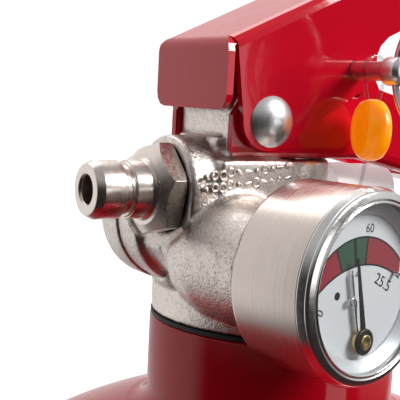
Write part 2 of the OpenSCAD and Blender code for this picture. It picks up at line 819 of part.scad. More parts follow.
module safety_pin() {
  color(STEEL) on_neck() translate([pin_x, 0, pin_z]) {
    cross_rod(0, 0, pin_r, pin_near_y - eps, pin_far_y - 1);
    translate([0, pin_far_y - 1 - eps, 0]) rotate([-90, 0, 0])
      cylinder(r1 = pin_r, r2 = pin_r - 0.9, h = 1);
    difference() {
      cross_rod(0, 0, crimp_r, pin_near_y - crimp_len, pin_near_y);
      translate([0, ring_y, 0]) rotate([0, 90, 0]) rotate_extrude()
        translate([ring_r, 0]) circle(ring_wire_r + clear, $fn = 32);
    }
  }
}

module pull_ring() {
  color(STEEL) on_neck() translate([pin_x, ring_y, pin_z]) rotate([0, 90, 0]) rotate_extrude()
    translate([ring_r, 0]) circle(ring_wire_r, $fn = 32);
}

module seal_body() {
  crown = 1.6;
  color("orange") on_neck() translate([pin_x, seal_y, 0]) difference() {
    translate([0, 0, seal_z]) rotate([0, 0, seal_turn]) rotate([0, 90, 0]) rotate_extrude()
      polygon([[0, -seal_t / 2], [seal_r - crown, -seal_t / 2], [seal_r - 0.4, -seal_t / 2 + 0.7],
        [seal_r, -0.8], [seal_r, 0.8], [seal_r - 0.4, seal_t / 2 - 0.7],
        [seal_r - crown, seal_t / 2], [0, seal_t / 2]]);
    for (side = [-1, 1]) thread_leg(side, thread_wire_r + clear, 0.3);
  }
}

// One of the thread's two legs, from beside the safety pin down into the seal.
module thread_leg(side, r, extra) {
  drop = pin_z - thread_low;
  shift = thread_loop_r - thread_low_x;
  translate([side * thread_loop_r, 0, pin_z]) rotate([0, side * atan2(shift, drop), 0])
    translate([0, 0, -norm([shift, drop]) - extra])
      cylinder(r = r, h = norm([shift, drop]) + extra, $fn = 24);
}

// The nylon thread: a loop over the safety pin and two legs down to the seal.
module seal_thread() {
  color([0.9, 0.9, 0.92]) on_neck() translate([pin_x, seal_y, 0]) {
    translate([0, 0, pin_z]) rotate([90, 0, 0]) rotate_extrude(angle = 180)
      translate([thread_loop_r, 0]) circle(thread_wire_r, $fn = 24);
    for (side = [-1, 1]) thread_leg(side, thread_wire_r, 0);
  }
}

// ---- gauge --------------------------------------------------------------------------------

module gauge_socket() {
  block_low = case_back + case_floor + 0.1;
  color(BRASS) gauge_frame() difference() {
    union() {
      translate([0, 0, 12]) cylinder(r = socket_r, h = case_back - 12);
      translate([0, 0, boss_face + 1.1]) cylinder(r = socket_af / 2 / cos(30),
        h = case_back - boss_face - 1.15, $fn = 6);
      translate([0, 0, case_back - eps]) cylinder(r = 4.4, h = 3);
      translate([-4, -4.5, block_low]) cube([8, 9, frame_back - 0.1 - block_low]);
    }
    translate([0, 0, 11]) cylinder(r = 1.2, h = 22);
  }
}

module gauge_washer() {
  color([0.75, 0.45, 0.3]) gauge_ring(socket_r + clear, 7, boss_face + clear, boss_face + 1.05);
}

module gauge_case() {
  color(NICKEL) gauge_frame() rotate_extrude() polygon([[case_hole_r, case_back],
    [gauge_r - 1, case_back], [gauge_r - 0.3, case_back + 0.3], [gauge_r, case_back + 1],
    [gauge_r, case_front], [gauge_r - case_wall, case_front],
    [gauge_r - case_wall, case_back + case_floor], [case_hole_r, case_back + case_floor]]);
}

module gauge_bourdon() {
  color(BRASS) gauge_frame() translate([0, 0, bourdon_z]) rotate([0, 0, -60])
    rotate_extrude(angle = 300) translate([bourdon_r, 0]) circle(bourdon_tube_r, $fn = 32);
}

// Frame, sector and shaft that carry the Bourdon tube's motion to the pointer.
module gauge_movement() {
  color(BRASS) gauge_frame() {
    translate([-2.5, pivot_v - 2, frame_back]) cube([5, -pivot_v + 4.5, 1]);
    translate([0, pivot_v, frame_back + 1 - 2 * clear]) cylinder(r = 1.6, h = gear_front - frame_back - 1);
    translate([0, pivot_v, gear_front - 2 * clear - eps])
      cylinder(r = shaft_r, h = shaft_front - gear_front + 2 * clear + eps);
  }
}

module gauge_dial() {
  color(WHITE) gauge_frame() translate([0, 0, dial_front - dial_t]) difference() {
    cylinder(r = dial_r, h = dial_t);
    translate([0, pivot_v, -1]) cylinder(r = 1, h = 3, $fn = 32);
  }
}

module gauge_stop() {
  color(STEEL) gauge_frame() translate([0, pivot_v, dial_front])
    rotate([0, 0, -high_stop_angle]) translate([0, high_stop_reach, 0])
      cylinder(r = stop_r, h = stop_h);
}

// Turns a shape drawn along the pointer's straight-up direction to its resting angle.
module pointer_frame() {
  gauge_frame() translate([0, pivot_v, 0]) rotate([0, 0, pointer_rest]) children();
}

module gauge_pointer() {
  color(BLACK) pointer_frame() translate([0, 0, pointer_back]) difference() {
    union() {
      linear_extrude(pointer_t)
        polygon([[-0.75, 0], [0.75, 0], [0.2, pointer_len], [-0.2, pointer_len]]);
      cylinder(r = hub_r, h = hub_t, $fn = 48);
    }
    translate([0, 0, -1]) cylinder(r = shaft_r + clear, h = 3, $fn = 48);
  }
}

module pointer_hub() {
  cap_back = pointer_back + hub_t + clear / 2;
  color(BRASS) pointer_frame() {
    translate([0, 0, hub_back]) cylinder(r = hub_r, h = pointer_back - hub_back - clear, $fn = 48);
    translate([0, 0, hub_back]) cylinder(r = shaft_r, h = hub_front - hub_back, $fn = 48);
    translate([0, 0, cap_back]) cylinder(r = hub_cap_r, h = hub_front - cap_back, $fn = 48);
  }
}

// Sloping ring that holds the dial down and the window up.
module gauge_spacer() {
  low = dial_front + clear;
  high = window_back - clear;
  color(WHITE) gauge_frame() rotate_extrude() polygon([[spacer_r, low], [window_r, low],
    [window_r, high], [bezel_lip_r, high], [spacer_r, low + 0.3]]);
}

module gauge_window() {
  color([0.8, 0.85, 0.9, 0.3]) gauge_ring(0, window_r, window_back, window_back + window_t);
}

module gauge_bezel() {
  roll = bezel_front - bezel_shoulder;
  lip_back = window_back + window_t + clear;
  color(STEEL) gauge_frame() rotate_extrude() difference() {
    union() {
      translate([bezel_lip_r, case_front + clear])
        square([bezel_r - bezel_lip_r, bezel_shoulder - case_front - clear + eps]);
      translate([bezel_lip_r, bezel_shoulder]) square([bezel_r - bezel_lip_r - roll, roll]);
      translate([bezel_r - roll, bezel_shoulder]) circle(roll);
    }
    square([window_r + clear, lip_back]);
    square([2 * bezel_r, case_front + clear]);
    polygon([[bezel_lip_r - 1, lip_back], [bezel_lip_r, lip_back],
      [bezel_lip_r + 0.4, bezel_front + eps], [bezel_lip_r - 1, bezel_front + eps]]);
  }
}

cylinder_shell();
neck_ring();
foot_ring();
label_band();
siphon_tube();
siphon_holder();
neck_gasket();
valve_body();
valve_stem();
seat_washer();
stem_seal();
stem_spring();
gland_nut();
outlet_nipple();
nipple_seal();
relief_body();
relief_poppet();
relief_spring();
side_cap();
side_cap_seal();
operating_lever();
carry_handle();
pivot_rivet();
safety_pin();
pull_ring();
seal_body();
seal_thread();
gauge_socket();
gauge_washer();
gauge_case();
gauge_bourdon();
gauge_movement();
gauge_dial();
gauge_stop();
gauge_pointer();
pointer_hub();
gauge_spacer();
gauge_window();
gauge_bezel();
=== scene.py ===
"""Looks of the portable fire extinguisher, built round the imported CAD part.

Shapes are drawn in millimetres in a few local frames (neck, outlet, gauge and so on), and each
frame's matrix turns them into metres in the part's own frame.
"""
import math
import random

import bmesh
import bpy
from mathutils import Matrix, Vector


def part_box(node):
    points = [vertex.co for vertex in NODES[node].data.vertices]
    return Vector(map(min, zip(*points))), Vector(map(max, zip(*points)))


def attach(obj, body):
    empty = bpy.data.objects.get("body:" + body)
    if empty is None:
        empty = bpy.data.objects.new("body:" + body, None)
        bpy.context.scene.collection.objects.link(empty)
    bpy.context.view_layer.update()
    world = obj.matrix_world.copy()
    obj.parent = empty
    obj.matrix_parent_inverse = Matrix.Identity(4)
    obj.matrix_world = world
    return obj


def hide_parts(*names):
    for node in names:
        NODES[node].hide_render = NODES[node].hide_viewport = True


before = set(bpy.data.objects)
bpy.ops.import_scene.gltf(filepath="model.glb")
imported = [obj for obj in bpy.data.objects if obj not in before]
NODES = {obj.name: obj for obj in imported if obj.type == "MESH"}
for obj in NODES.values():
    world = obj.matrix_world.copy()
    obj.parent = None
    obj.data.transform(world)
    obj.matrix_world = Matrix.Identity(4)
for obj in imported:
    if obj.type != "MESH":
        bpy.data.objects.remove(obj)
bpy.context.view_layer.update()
MM = 0.001
BODY = "extinguisher"


# ---- sizes in millimetres and angles in degrees, as in the CAD source --------------------

def node_low(name):
    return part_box(name)[0] / MM


def node_high(name):
    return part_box(name)[1] / MM


NECK_TOP = node_high("neck_gasket").z
CYLINDER_R = 75.0
WALL_T = 1.6
CROWN_R = 110.0
KNUCKLE_R = 30.0
CROWN_DROP = 16.8
NECK_R = 27.0
BASE_Z = node_low("cylinder_shell").z
FOOT_R = node_high("foot_ring").x
FOOT_H = node_high("foot_ring").z
LABEL_LOW, LABEL_HIGH = node_low("label_band").z, node_high("label_band").z
OUTLET_Z = 27.4
OUTLET_REACH = -node_low("outlet_nipple").x
SPIGOT_R = 5.8
BORE_R = 2.75
HEX_AF = 17.0
HEX_TURN = -15.1
PIVOT = (-13.15, 0, 42.0)
PIN = (7.9, 0, 53.2)
PIN_R = 2.0
SEAL_Y, SEAL_Z, SEAL_TURN = -18.9, 41.2, -21.8
GAUGE = (-20.4, 0, 14.7)
GAUGE_TURN = 9.47
GAUGE_R = 17.65
CASE_BACK, CASE_FRONT = 27.8, 43.4
DIAL_FRONT = 42.95
BEZEL_FRONT = 46.1
BEZEL_LIP_R = 14.9
WINDOW_R, WINDOW_BACK, WINDOW_FRONT = 15.6, 44.95, 45.55
POINTER_PIVOT = -9.6
POINTER_BACK = 44.15
POINTER_LEN = 15.5
POINTER_REST = 12.0
HUB_R = 2.4
SIDE = (-18.4, 0, 20.3)

UNITS = Matrix.Scale(MM, 4)


def turned_frame(place, *turns):
    """A local frame in millimetres at a place given from the middle of the neck's top face."""
    matrix = UNITS @ Matrix.Translation((place[0], place[1], place[2] + NECK_TOP))
    for angle, axis in turns:
        matrix = matrix @ Matrix.Rotation(math.radians(angle), 4, axis)
    return matrix


ON_FLOOR = UNITS
ON_NECK = turned_frame((0, 0, 0))
AT_OUTLET = turned_frame((0, 0, OUTLET_Z), (-90, "Y"))
AT_RELIEF = turned_frame((0, 0, OUTLET_Z), (90, "Y"))
AT_SIDE = turned_frame(SIDE, (-90, "X"))
AT_RIVET = turned_frame(PIVOT, (90, "X"))
AT_PIN = turned_frame(PIN, (90, "X"))
AT_GAUGE = turned_frame(GAUGE, (GAUGE_TURN, "Z"), (90, "X"))
AT_SEAL = turned_frame((PIN[0], SEAL_Y, SEAL_Z), (SEAL_TURN, "Z"), (90, "Y"))


# ---- material building blocks ------------------------------------------------------------

class Shader:
    """A node material on one Principled shader, with short ways to add texture nodes."""

    def __init__(self, name, color, metallic=0.0, roughness=0.4, **sockets):
        self.material = bpy.data.materials.new(name)
        self.material.use_nodes = True
        self.tree = self.material.node_tree
        self.main = self.tree.nodes["Principled BSDF"]
        self.color = color
        self.main.inputs["Base Color"].default_value = (*color, 1)
        self.main.inputs["Metallic"].default_value = metallic
        self.main.inputs["Roughness"].default_value = roughness
        for socket, value in sockets.items():
            self.main.inputs[socket.replace("_", " ")].default_value = value
        self.coords = self.add("ShaderNodeTexCoord").outputs["Object"]
        self.normal = None

    def add(self, kind, **settings):
        node = self.tree.nodes.new(kind)
        for key, value in settings.items():
            setattr(node, key, value)
        return node

    def feed(self, socket, value):
        if hasattr(value, "links"):
            self.tree.links.new(value, socket)
        else:
            socket.default_value = value

    def math(self, operation, a, b=0.0):
        node = self.add("ShaderNodeMath", operation=operation)
        self.feed(node.inputs[0], a)
        self.feed(node.inputs[1], b)
        return node.outputs[0]

    def noise(self, size_mm, detail=3.0, vector=None):
        """Noise whose lumps are about size_mm across, from 0 to 1."""
        node = self.add("ShaderNodeTexNoise")
        self.feed(node.inputs["Vector"], vector or self.coords)
        node.inputs["Scale"].default_value = 1.0 / (size_mm * MM)
        node.inputs["Detail"].default_value = detail
        return node.outputs["Fac"]

    def about_axis(self, place):
        """(radius, height) round a local frame's axis, so that noise on it makes turning marks."""
        centre, axis = place.translation, (place.to_3x3() @ Vector((0, 0, 1))).normalized()
        offset = self.add("ShaderNodeVectorMath", operation="SUBTRACT")
        self.feed(offset.inputs[0], self.coords)
        offset.inputs[1].default_value = centre
        along = self.add("ShaderNodeVectorMath", operation="DOT_PRODUCT")
        self.feed(along.inputs[0], offset.outputs[0])
        along.inputs[1].default_value = axis
        across = self.add("ShaderNodeVectorMath", operation="CROSS_PRODUCT")
        self.feed(across.inputs[0], offset.outputs[0])
        across.inputs[1].default_value = axis
        radius = self.add("ShaderNodeVectorMath", operation="LENGTH")
        self.feed(radius.inputs[0], across.outputs[0])
        both = self.add("ShaderNodeCombineXYZ")
        self.feed(both.inputs[0], radius.outputs["Value"])
        self.feed(both.inputs[1], along.outputs["Value"])
        return both.outputs[0]

    def spread(self, value, low, high, start=0.3, end=0.7):
        """Stretches the part of a texture from start to end to the range low to high."""
        node = self.add("ShaderNodeMapRange")
        self.feed(node.inputs["Value"], value)
        node.inputs["From Min"].default_value = start
        node.inputs["From Max"].default_value = end
        node.inputs["To Min"].default_value = low
        node.inputs["To Max"].default_value = high
        return node.outputs[0]

    def paint(self, factor, second):
        """Varies the base colour, as it is so far, towards a second one."""
        base = self.main.inputs["Base Color"]
        first = base.links[0].from_socket if base.is_linked else (*self.color, 1)
        node = self.add("ShaderNodeMix", data_type="RGBA")
        self.feed(node.inputs["Factor"], factor)
        self.feed(node.inputs["A"], first)
        self.feed(node.inputs["B"], (*second, 1))
        self.feed(base, node.outputs["Result"])

    def rough(self, factor, low, high):
        self.feed(self.main.inputs["Roughness"], self.spread(factor, low, high))

    def bump(self, height, depth_mm, strength):
        """Adds a relief on top of the ones already there."""
        node = self.add("ShaderNodeBump")
        node.inputs["Strength"].default_value = strength
        node.inputs["Distance"].default_value = depth_mm * MM
        self.feed(node.inputs["Height"], height)
        if self.normal:
            self.feed(node.inputs["Normal"], self.normal)
        self.normal = node.outputs["Normal"]
        self.feed(self.main.inputs["Normal"], self.normal)

    def coat_bump(self):
        """Gives the clear coat the same relief."""
        self.feed(self.main.inputs["Coat Normal"], self.normal)


# ---- materials ---------------------------------------------------------------------------

def red_paint(name, color, gloss):
    s = Shader(name, color, roughness=0.5, Coat_Weight=gloss, Coat_Roughness=0.07,
               Specular_IOR_Level=0.02)
    s.paint(s.spread(s.noise(26, 2), 0, 0.3), tuple(0.88 * c for c in color))
    s.rough(s.noise(7, 3), 0.45, 0.6)
    s.bump(s.noise(2.2, 2), 0.03, 0.3)
    s.coat_bump()
    return s.material


def cast_nickel():
    s = Shader("cast_nickel", (0.72, 0.655, 0.61), metallic=1.0, roughness=0.36)
    grain = s.noise(0.5, 6)
    patches = s.spread(s.noise(8, 2), 0.35, 1.0, 0.35, 0.65)
    dark = s.math("MULTIPLY", s.spread(grain, 0.8, 0.0, 0.36, 0.52), patches)
    s.paint(dark, (0.33, 0.285, 0.26))
    s.rough(s.noise(1.2, 4), 0.30, 0.46)
    s.bump(s.math("MULTIPLY", grain, patches), 0.22, 0.8)
    s.bump(s.noise(3.5, 3), 0.12, 0.25)
    return s.material


def plated(name, place, color, low, high, lines):
    """Nickel-plated or bare turned metal with tool marks, lines mm deep, round its axis."""
    s = Shader(name, color, metallic=1.0, roughness=low)
    round_axis = s.about_axis(place)
    marks = s.noise(0.16, 2, round_axis)
    s.paint(s.spread(s.noise(2.4, 3), 0, 0.28), tuple(0.78 * c for c in color))
    s.rough(s.noise(0.9, 3, round_axis), low, high)
    s.bump(marks, lines, 0.6)
    s.bump(s.noise(1.3, 3), 0.01, 0.4)
    return s.material


def satin_metal(name, color, low, high, metallic=1.0):
    s = Shader(name, color, metallic=metallic, roughness=low)
    s.paint(s.spread(s.noise(3.1, 3), 0, 0.3), tuple(0.74 * c for c in color))
    s.rough(s.noise(0.8, 4), low, high)
    s.bump(s.noise(0.35, 3), 0.012, 0.5)
    return s.material


def brushed_case():
    s = Shader("brushed_case", (0.60, 0.53, 0.485), metallic=1.0, roughness=0.27)
    streaks = s.noise(0.22, 4, s.about_axis(AT_GAUGE))
    s.paint(s.spread(s.noise(5, 2), 0, 0.25), (0.49, 0.42, 0.38))
    s.rough(streaks, 0.22, 0.36)
    s.bump(streaks, 0.010, 0.5)
    return s.material


def plastic(name, color, low, high, pebble_mm, depth_mm):
    s = Shader(name, color, roughness=low)
    s.paint(s.spread(s.noise(11, 3), 0, 0.3), tuple(0.8 * c for c in color))
    s.rough(s.noise(3, 3), low, high)
    s.bump(s.noise(pebble_mm, 3), depth_mm, 0.6)
    return s.material


def seal_plastic():
    # The emission is a painted glow that stands in for light shining through the seal from behind;
    # the orange colour and subsurface are the plastic's own.
    s = Shader("orange_seal", (0.98, 0.36, 0.001), roughness=0.3, Subsurface_Weight=0.5,
               Subsurface_Scale=0.003, Coat_Weight=0.15, Coat_Roughness=0.15,
               Emission_Strength=0.5)
    s.main.inputs["Emission Color"].default_value = (0.98, 0.25, 0.0, 1)
    s.main.inputs["Subsurface Radius"].default_value = (1.0, 0.45, 0.05)
    s.paint(s.spread(s.noise(3, 3), 0, 0.25), (0.95, 0.25, 0.001))
    s.rough(s.noise(1.1, 3), 0.24, 0.38)
    s.bump(s.noise(0.8, 3), 0.03, 0.5)
    return s.material


def relief_white_painted_glow():
    """Nearly white, with a weak emission: a painted glow that stands in for the full light from
    behind on the fitting.
    """
    s = Shader("relief_white_painted_glow", (0.93, 0.93, 0.92), roughness=0.42, Emission_Strength=0.3)
    s.main.inputs["Emission Color"].default_value = (0.96, 0.97, 1.0, 1)
    s.paint(s.spread(s.noise(3.1, 3), 0, 0.3), (0.8, 0.8, 0.79))
    s.rough(s.noise(0.8, 4), 0.36, 0.5)
    s.bump(s.noise(0.35, 3), 0.012, 0.5)
    return s.material


def clear_film(name, tint, gloss_roughness=0.02, mirror=0.03, streak_mm=8.0):
    """A thin clear body: light passes straight through, and both its sides mirror at a slant."""
    s = Shader(name, tint, roughness=gloss_roughness)
    clear = s.add("ShaderNodeBsdfTransparent")
    clear.inputs["Color"].default_value = (*tint, 1)
    gloss = s.add("ShaderNodeBsdfGlossy")
    gloss.inputs["Roughness"].default_value = gloss_roughness
    s.bump(s.noise(streak_mm, 2), 0.02, 0.15)
    s.feed(gloss.inputs["Normal"], s.normal)
    slant = s.add("ShaderNodeLayerWeight")
    slant.inputs["Blend"].default_value = 0.5
    share = s.math("MULTIPLY", s.math("POWER", slant.outputs["Facing"], 4.0), 0.9)
    mix = s.add("ShaderNodeMixShader")
    s.feed(mix.inputs[0], s.math("ADD", share, mirror))
    s.feed(mix.inputs[1], clear.outputs[0])
    s.feed(mix.inputs[2], gloss.outputs[0])
    out = s.tree.nodes["Material Output"]
    s.feed(out.inputs["Surface"], mix.outputs[0])
    s.tree.nodes.remove(s.main)
    return s.material


def label_print():
    """Plain printed film: bands of colour by height, with no lettering."""
    s = Shader("label_print", (0.80, 0.80, 0.78), roughness=0.3, Coat_Weight=0.4,
               Coat_Roughness=0.12)
    height = s.add("ShaderNodeSeparateXYZ")
    s.feed(height.inputs[0], s.coords)
    span = LABEL_HIGH - LABEL_LOW
    red, black = (0.46, 0.002, 0.01), (0.02, 0.02, 0.025)
    for start, end, color in ((0.80, 0.97, red), (0.06, 0.16, black), (0.52, 0.54, black)):
        low, high = ((LABEL_LOW + span * t) * MM for t in (start, end))
        inside = s.math("MULTIPLY", s.math("GREATER_THAN", height.outputs[2], low),
                        s.math("LESS_THAN", height.outputs[2], high))
        s.paint(inside, color)
    s.rough(s.noise(6, 3), 0.26, 0.36)
    s.bump(s.noise(1.5, 2), 0.01, 0.3)
    return s.material


def dial_enamel(name, color):
    s = Shader(name, color, roughness=0.38)
    s.paint(s.spread(s.noise(4, 3), 0, 0.12), tuple(0.9 * c for c in color))
    s.rough(s.noise(1.2, 3), 0.34, 0.46)
    s.bump(s.noise(0.5, 2), 0.004, 0.3)
    return s.material


RED = red_paint("grip_red", (0.60, 0.0006, 0.016), 0.9)
# The bottle's red is a darker copy of the grips' red paint: painted shade, as the neck and bottle
# lie in the shade of the valve and gauge.
BOTTLE_RED_PAINTED_SHADE = red_paint("bottle_red_painted_shade", (0.42, 0.0006, 0.010), 0.7)
CAST = cast_nickel()
OUTLET_METAL = plated("outlet_nickel", AT_OUTLET, (0.74, 0.66, 0.61), 0.2, 0.3, 0.012)
HEX_METAL = satin_metal("hexagon_nickel", (0.74, 0.67, 0.61), 0.24, 0.36)
RELIEF_PAINTED_GLOW = relief_white_painted_glow()
RIVET_METAL = plated("rivet_steel", AT_RIVET, (0.80, 0.805, 0.82), 0.3, 0.42, 0.006)
PIN_METAL = satin_metal("pin_steel", (0.80, 0.80, 0.81), 0.28, 0.4)
CASE_METAL = brushed_case()
BEZEL_METAL = satin_metal("bezel_chrome", (0.86, 0.845, 0.835), 0.16, 0.24)
BRASS = satin_metal("turned_brass", (0.72, 0.50, 0.22), 0.2, 0.34)
COPPER = satin_metal("soft_copper", (0.72, 0.36, 0.22), 0.26, 0.4)
SPRING_METAL = satin_metal("spring_wire", (0.58, 0.58, 0.6), 0.2, 0.32)
RUBBER = plastic("black_rubber", (0.012, 0.012, 0.012), 0.55, 0.72, 0.4, 0.03)
FOOT_PLASTIC = plastic("foot_plastic", (0.018, 0.018, 0.02), 0.42, 0.56, 0.7, 0.06)
TUBE_PLASTIC = plastic("tube_plastic", (0.74, 0.74, 0.71), 0.3, 0.42, 1.5, 0.02)
SEAL = seal_plastic()
NYLON = clear_film("clear_nylon", (0.86, 0.86, 0.88), 0.08, 0.06, 1.5)
GLASS = clear_film("gauge_glass", (0.97, 0.98, 0.98))
LABEL = label_print()
DIAL_WHITE = dial_enamel("dial_white", (0.90, 0.90, 0.93))
DIAL_BLACK = dial_enamel("dial_black", (0.012, 0.012, 0.014))
DIAL_GREEN = dial_enamel("dial_green", (0.045, 0.115, 0.07))
DIAL_RED = dial_enamel("dial_red", (0.38, 0.035, 0.052))
POINTER_BLACK = dial_enamel("pointer_black", (0.01, 0.01, 0.011))
RING_WHITE = satin_metal("ring_white", (0.74, 0.75, 0.78), 0.3, 0.42, metallic=0.35)


# ---- mesh building blocks ----------------------------------------------------------------

def rounded(points, radius, closed=False, steps=3):
    """An outline with its corners rounded off."""
    points = [Vector(p) for p in points]
    count = len(points)
    out = [] if closed else [points[0]]
    for i in range(count) if closed else range(1, count - 1):
        corner = points[i]
        back, ahead = points[i - 1] - corner, points[(i + 1) % count] - corner
        cut = min(radius, 0.45 * back.length, 0.45 * ahead.length)
        start, end = corner + back.normalized() * cut, corner + ahead.normalized() * cut
        for k in range(steps + 1):
            t = k / steps
            out.append(start * (1 - t) ** 2 + corner * 2 * t * (1 - t) + end * t ** 2)
    return out if closed else out + [points[-1]]


def arc(centre, radius, start, end, steps):
    """Points of an arc in an outline."""
    angles = [math.radians(start + (end - start) * i / steps) for i in range(steps + 1)]
    return [(centre[0] + radius * math.cos(a), centre[1] + radius * math.sin(a)) for a in angles]


def finished(name, mesh, material, body=BODY, smooth_angle=32.0):
    """Names a mesh's object, smooths its shading and makes it ride on its body."""
    mesh.name = name
    mesh.materials.clear()
    mesh.materials.append(material)
    mesh.shade_smooth()
    mesh.set_sharp_from_angle(angle=math.radians(smooth_angle))
    obj = bpy.data.objects.new(name, mesh)
    bpy.context.collection.objects.link(obj)
    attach(obj, body)
    return obj


def mesh_from(bm, place):
    """Moves what was drawn in a local frame to its place, with its faces turned outward."""
    bm.transform(place)
    bmesh.ops.recalc_face_normals(bm, faces=bm.faces)
    mesh = bpy.data.meshes.new("piece")
    bm.to_mesh(mesh)
    bm.free()
    return mesh


def lathe_mesh(points, place, closed=False, segments=128, start=0.0, sweep=360.0):
    """Turns an outline of (radius, height) round the frame's +Z axis."""
    bm = bmesh.new()
    whole = sweep >= 360.0
    steps = segments if whole else segments + 1
    rings = []
    for radius, height in points:
        if radius < 1e-6:
            rings.append([bm.verts.new((0, 0, height))])
            continue
        angles = [math.radians(start + sweep * i / segments) for i in range(steps)]
        rings.append([bm.verts.new((radius * math.cos(a), radius * math.sin(a), height))
                      for a in angles])
    pairs = list(zip(rings, rings[1:] + rings[:1])) if closed else list(zip(rings, rings[1:]))
    for low, high in pairs:
        for i in range(segments):
            j = (i + 1) % steps if whole else i + 1
            corners = [low[i % len(low)], low[j % len(low)],
                       high[j % len(high)], high[i % len(high)]]
            face = list(dict.fromkeys(corners))
            if len(face) > 2:
                bm.faces.new(face)
    if not whole:
        for side in (0, -1):
            bm.faces.new([ring[side] for ring in rings])
    return mesh_from(bm, place)


def lathe(name, points, place, material, body=BODY, corner=0.25, closed=False, **options):
    outline = rounded(points, corner, closed)
    return finished(name, lathe_mesh(outline, place, closed, **options), material, body)


def prism_mesh(outline, low, high, place):
    """A straight prism of a closed outline between two heights."""
    bm = bmesh.new()
    bottom = [bm.verts.new((x, y, low)) for x, y in outline]
    top = [bm.verts.new((x, y, high)) for x, y in outline]
    bm.faces.new(list(reversed(bottom)))
    bm.faces.new(top)
    for i in range(len(outline)):
        j = (i + 1) % len(outline)
        bm.faces.new([bottom[i], bottom[j], top[j], top[i]])
    return mesh_from(bm, place)


def baked(obj):
    """Applies an object's modifiers to its mesh."""
    graph = bpy.context.evaluated_depsgraph_get()
    mesh = bpy.data.meshes.new_from_object(obj.evaluated_get(graph))
    obj.modifiers.clear()
    return mesh


def combined(first, second, operation):
    """The exact boolean of two meshes."""
    objects = [bpy.data.objects.new("part", mesh) for mesh in (first, second)]
    for obj in objects:
        bpy.context.collection.objects.link(obj)
    cut = objects[0].modifiers.new("cut", "BOOLEAN")
    cut.operation, cut.solver, cut.object = operation, "EXACT", objects[1]
    mesh = baked(objects[0])
    for obj in objects:
        bpy.data.objects.remove(obj)
    return mesh


def soft_edges(obj, width_mm, angle=32.0):
    """Rounds an object's edges with a bevel, which leaves its mesh data as it is."""
    weld = obj.modifiers.new("weld", "WELD")
    weld.merge_threshold = 1e-6
    bevel = obj.modifiers.new("bevel", "BEVEL")
    bevel.width, bevel.segments = width_mm * MM, 3
    bevel.limit_method, bevel.angle_limit = "ANGLE", math.radians(angle)
    bevel.use_clamp_overlap = True
    smooth = obj.modifiers.new("normals", "WEIGHTED_NORMAL")
    smooth.keep_sharp = True


def tube_mesh(points, radius, place, sides=16, closed=False):
    """A round wire through a list of points."""
    points = [Vector(p) for p in points]
    bm = bmesh.new()
    rings = []
    count = len(points)
    side = Vector((0.3, 1.0, 0.2))
    for i, p in enumerate(points):
        ahead = points[(i + 1) % count] if closed or i < count - 1 else p
        behind = points[i - 1] if closed or i > 0 else p
        along = (ahead - behind).normalized()
        side = (side - along * side.dot(along)).normalized()
        other = along.cross(side)
        rings.append([bm.verts.new(p + radius * (side * math.cos(a) + other * math.sin(a)))
                      for a in (2 * math.pi * k / sides for k in range(sides))])
    for low, high in zip(rings, rings[1:] + rings[:1] if closed else rings[1:]):
        for k in range(sides):
            bm.faces.new([low[k], low[(k + 1) % sides], high[(k + 1) % sides], high[k]])
    if not closed:
        bm.faces.new(list(reversed(rings[0])))
        bm.faces.new(rings[-1])
    return mesh_from(bm, place)


# ---- cylinder ----------------------------------------------------------------------------

def dish_points(inset, steps=28):
    """Outline of a dished end from its pole to the straight wall, pole at height 0."""
    knuckle_x = CYLINDER_R - KNUCKLE_R
    drop = math.sqrt((CROWN_R - KNUCKLE_R) ** 2 - knuckle_x ** 2)
    knuckle_y = CROWN_R - drop
    tilt = math.degrees(math.atan2(knuckle_x, drop))
    crown = arc((0, CROWN_R), CROWN_R - inset, -90, -90 + tilt, steps)
    knuckle = arc((knuckle_x, knuckle_y), KNUCKLE_R - inset, -90 + tilt, 0, steps // 2)
    return [(abs(x), y) for x, y in crown + knuckle[1:]]


def build_cylinder():
    top = NECK_TOP - CROWN_DROP
    hole_r = NECK_R + 0.05

    def wall(inset):
        """One face of the sheet, from the middle of the bottom to the hole for the neck."""
        lower = [(x, BASE_Z + y) for x, y in dish_points(inset)]
        upper = [(x, top - y) for x, y in reversed(dish_points(inset)) if x > hole_r]
        reach = math.sqrt((CROWN_R - inset) ** 2 - hole_r ** 2)
        return lower + upper + [(hole_r, top - CROWN_R + reach)]

    outline = wall(0) + list(reversed(wall(WALL_T)))
    # The bottle and the neck take the red with painted shade.
    shell = finished("bottle", lathe_mesh(outline, ON_FLOOR, segments=192), BOTTLE_RED_PAINTED_SHADE)
    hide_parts("cylinder_shell")

    bore_r, bottom, face = 18, -32, -0.9
    weld_r = 4.5
    weld_z = -CROWN_DROP - CROWN_R + math.sqrt(CROWN_R ** 2 - (NECK_R + weld_r) ** 2)
    fillet = arc((NECK_R + weld_r, weld_z + weld_r + 0.3), weld_r, 180, 268, 10)
    neck = [(bore_r, bottom), (NECK_R, bottom), (NECK_R, weld_z - 1),
            (NECK_R + weld_r, weld_z - 0.2)]
    neck += list(reversed(fillet))
    neck += [(NECK_R, face - 0.6), (NECK_R - 0.5, face), (bore_r, face + 0.05)]
    ring = finished("neck", lathe_mesh(neck, ON_NECK, closed=True, segments=160), BOTTLE_RED_PAINTED_SHADE,
                    smooth_angle=50)
    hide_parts("neck_ring")


def build_foot_and_label():
    inner_r, underside, floor_top, wall = 60, 0.05, 2.5, 1.3
    foot = lathe("foot", [(inner_r, underside), (FOOT_R - 1.2, underside), (FOOT_R, 1.4),
                          (FOOT_R, FOOT_H - 1), (FOOT_R - 0.5, FOOT_H), (FOOT_R - wall, FOOT_H),
                          (FOOT_R - wall, floor_top), (inner_r, floor_top)],
                 ON_FLOOR, FOOT_PLASTIC, closed=True, corner=0.6, segments=192)
    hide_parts("foot_ring")
    back, front = CYLINDER_R + 0.05, CYLINDER_R + 0.22
    film = [(back, LABEL_LOW), (front, LABEL_LOW), (front, LABEL_HIGH), (back, LABEL_HIGH)]
    mesh = lathe_mesh(film, ON_FLOOR, closed=True, segments=128, start=-190, sweep=200)
    label = finished("label", mesh, LABEL)
    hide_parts("label_band")


# ---- valve casting -----------------------------------------------------------------------

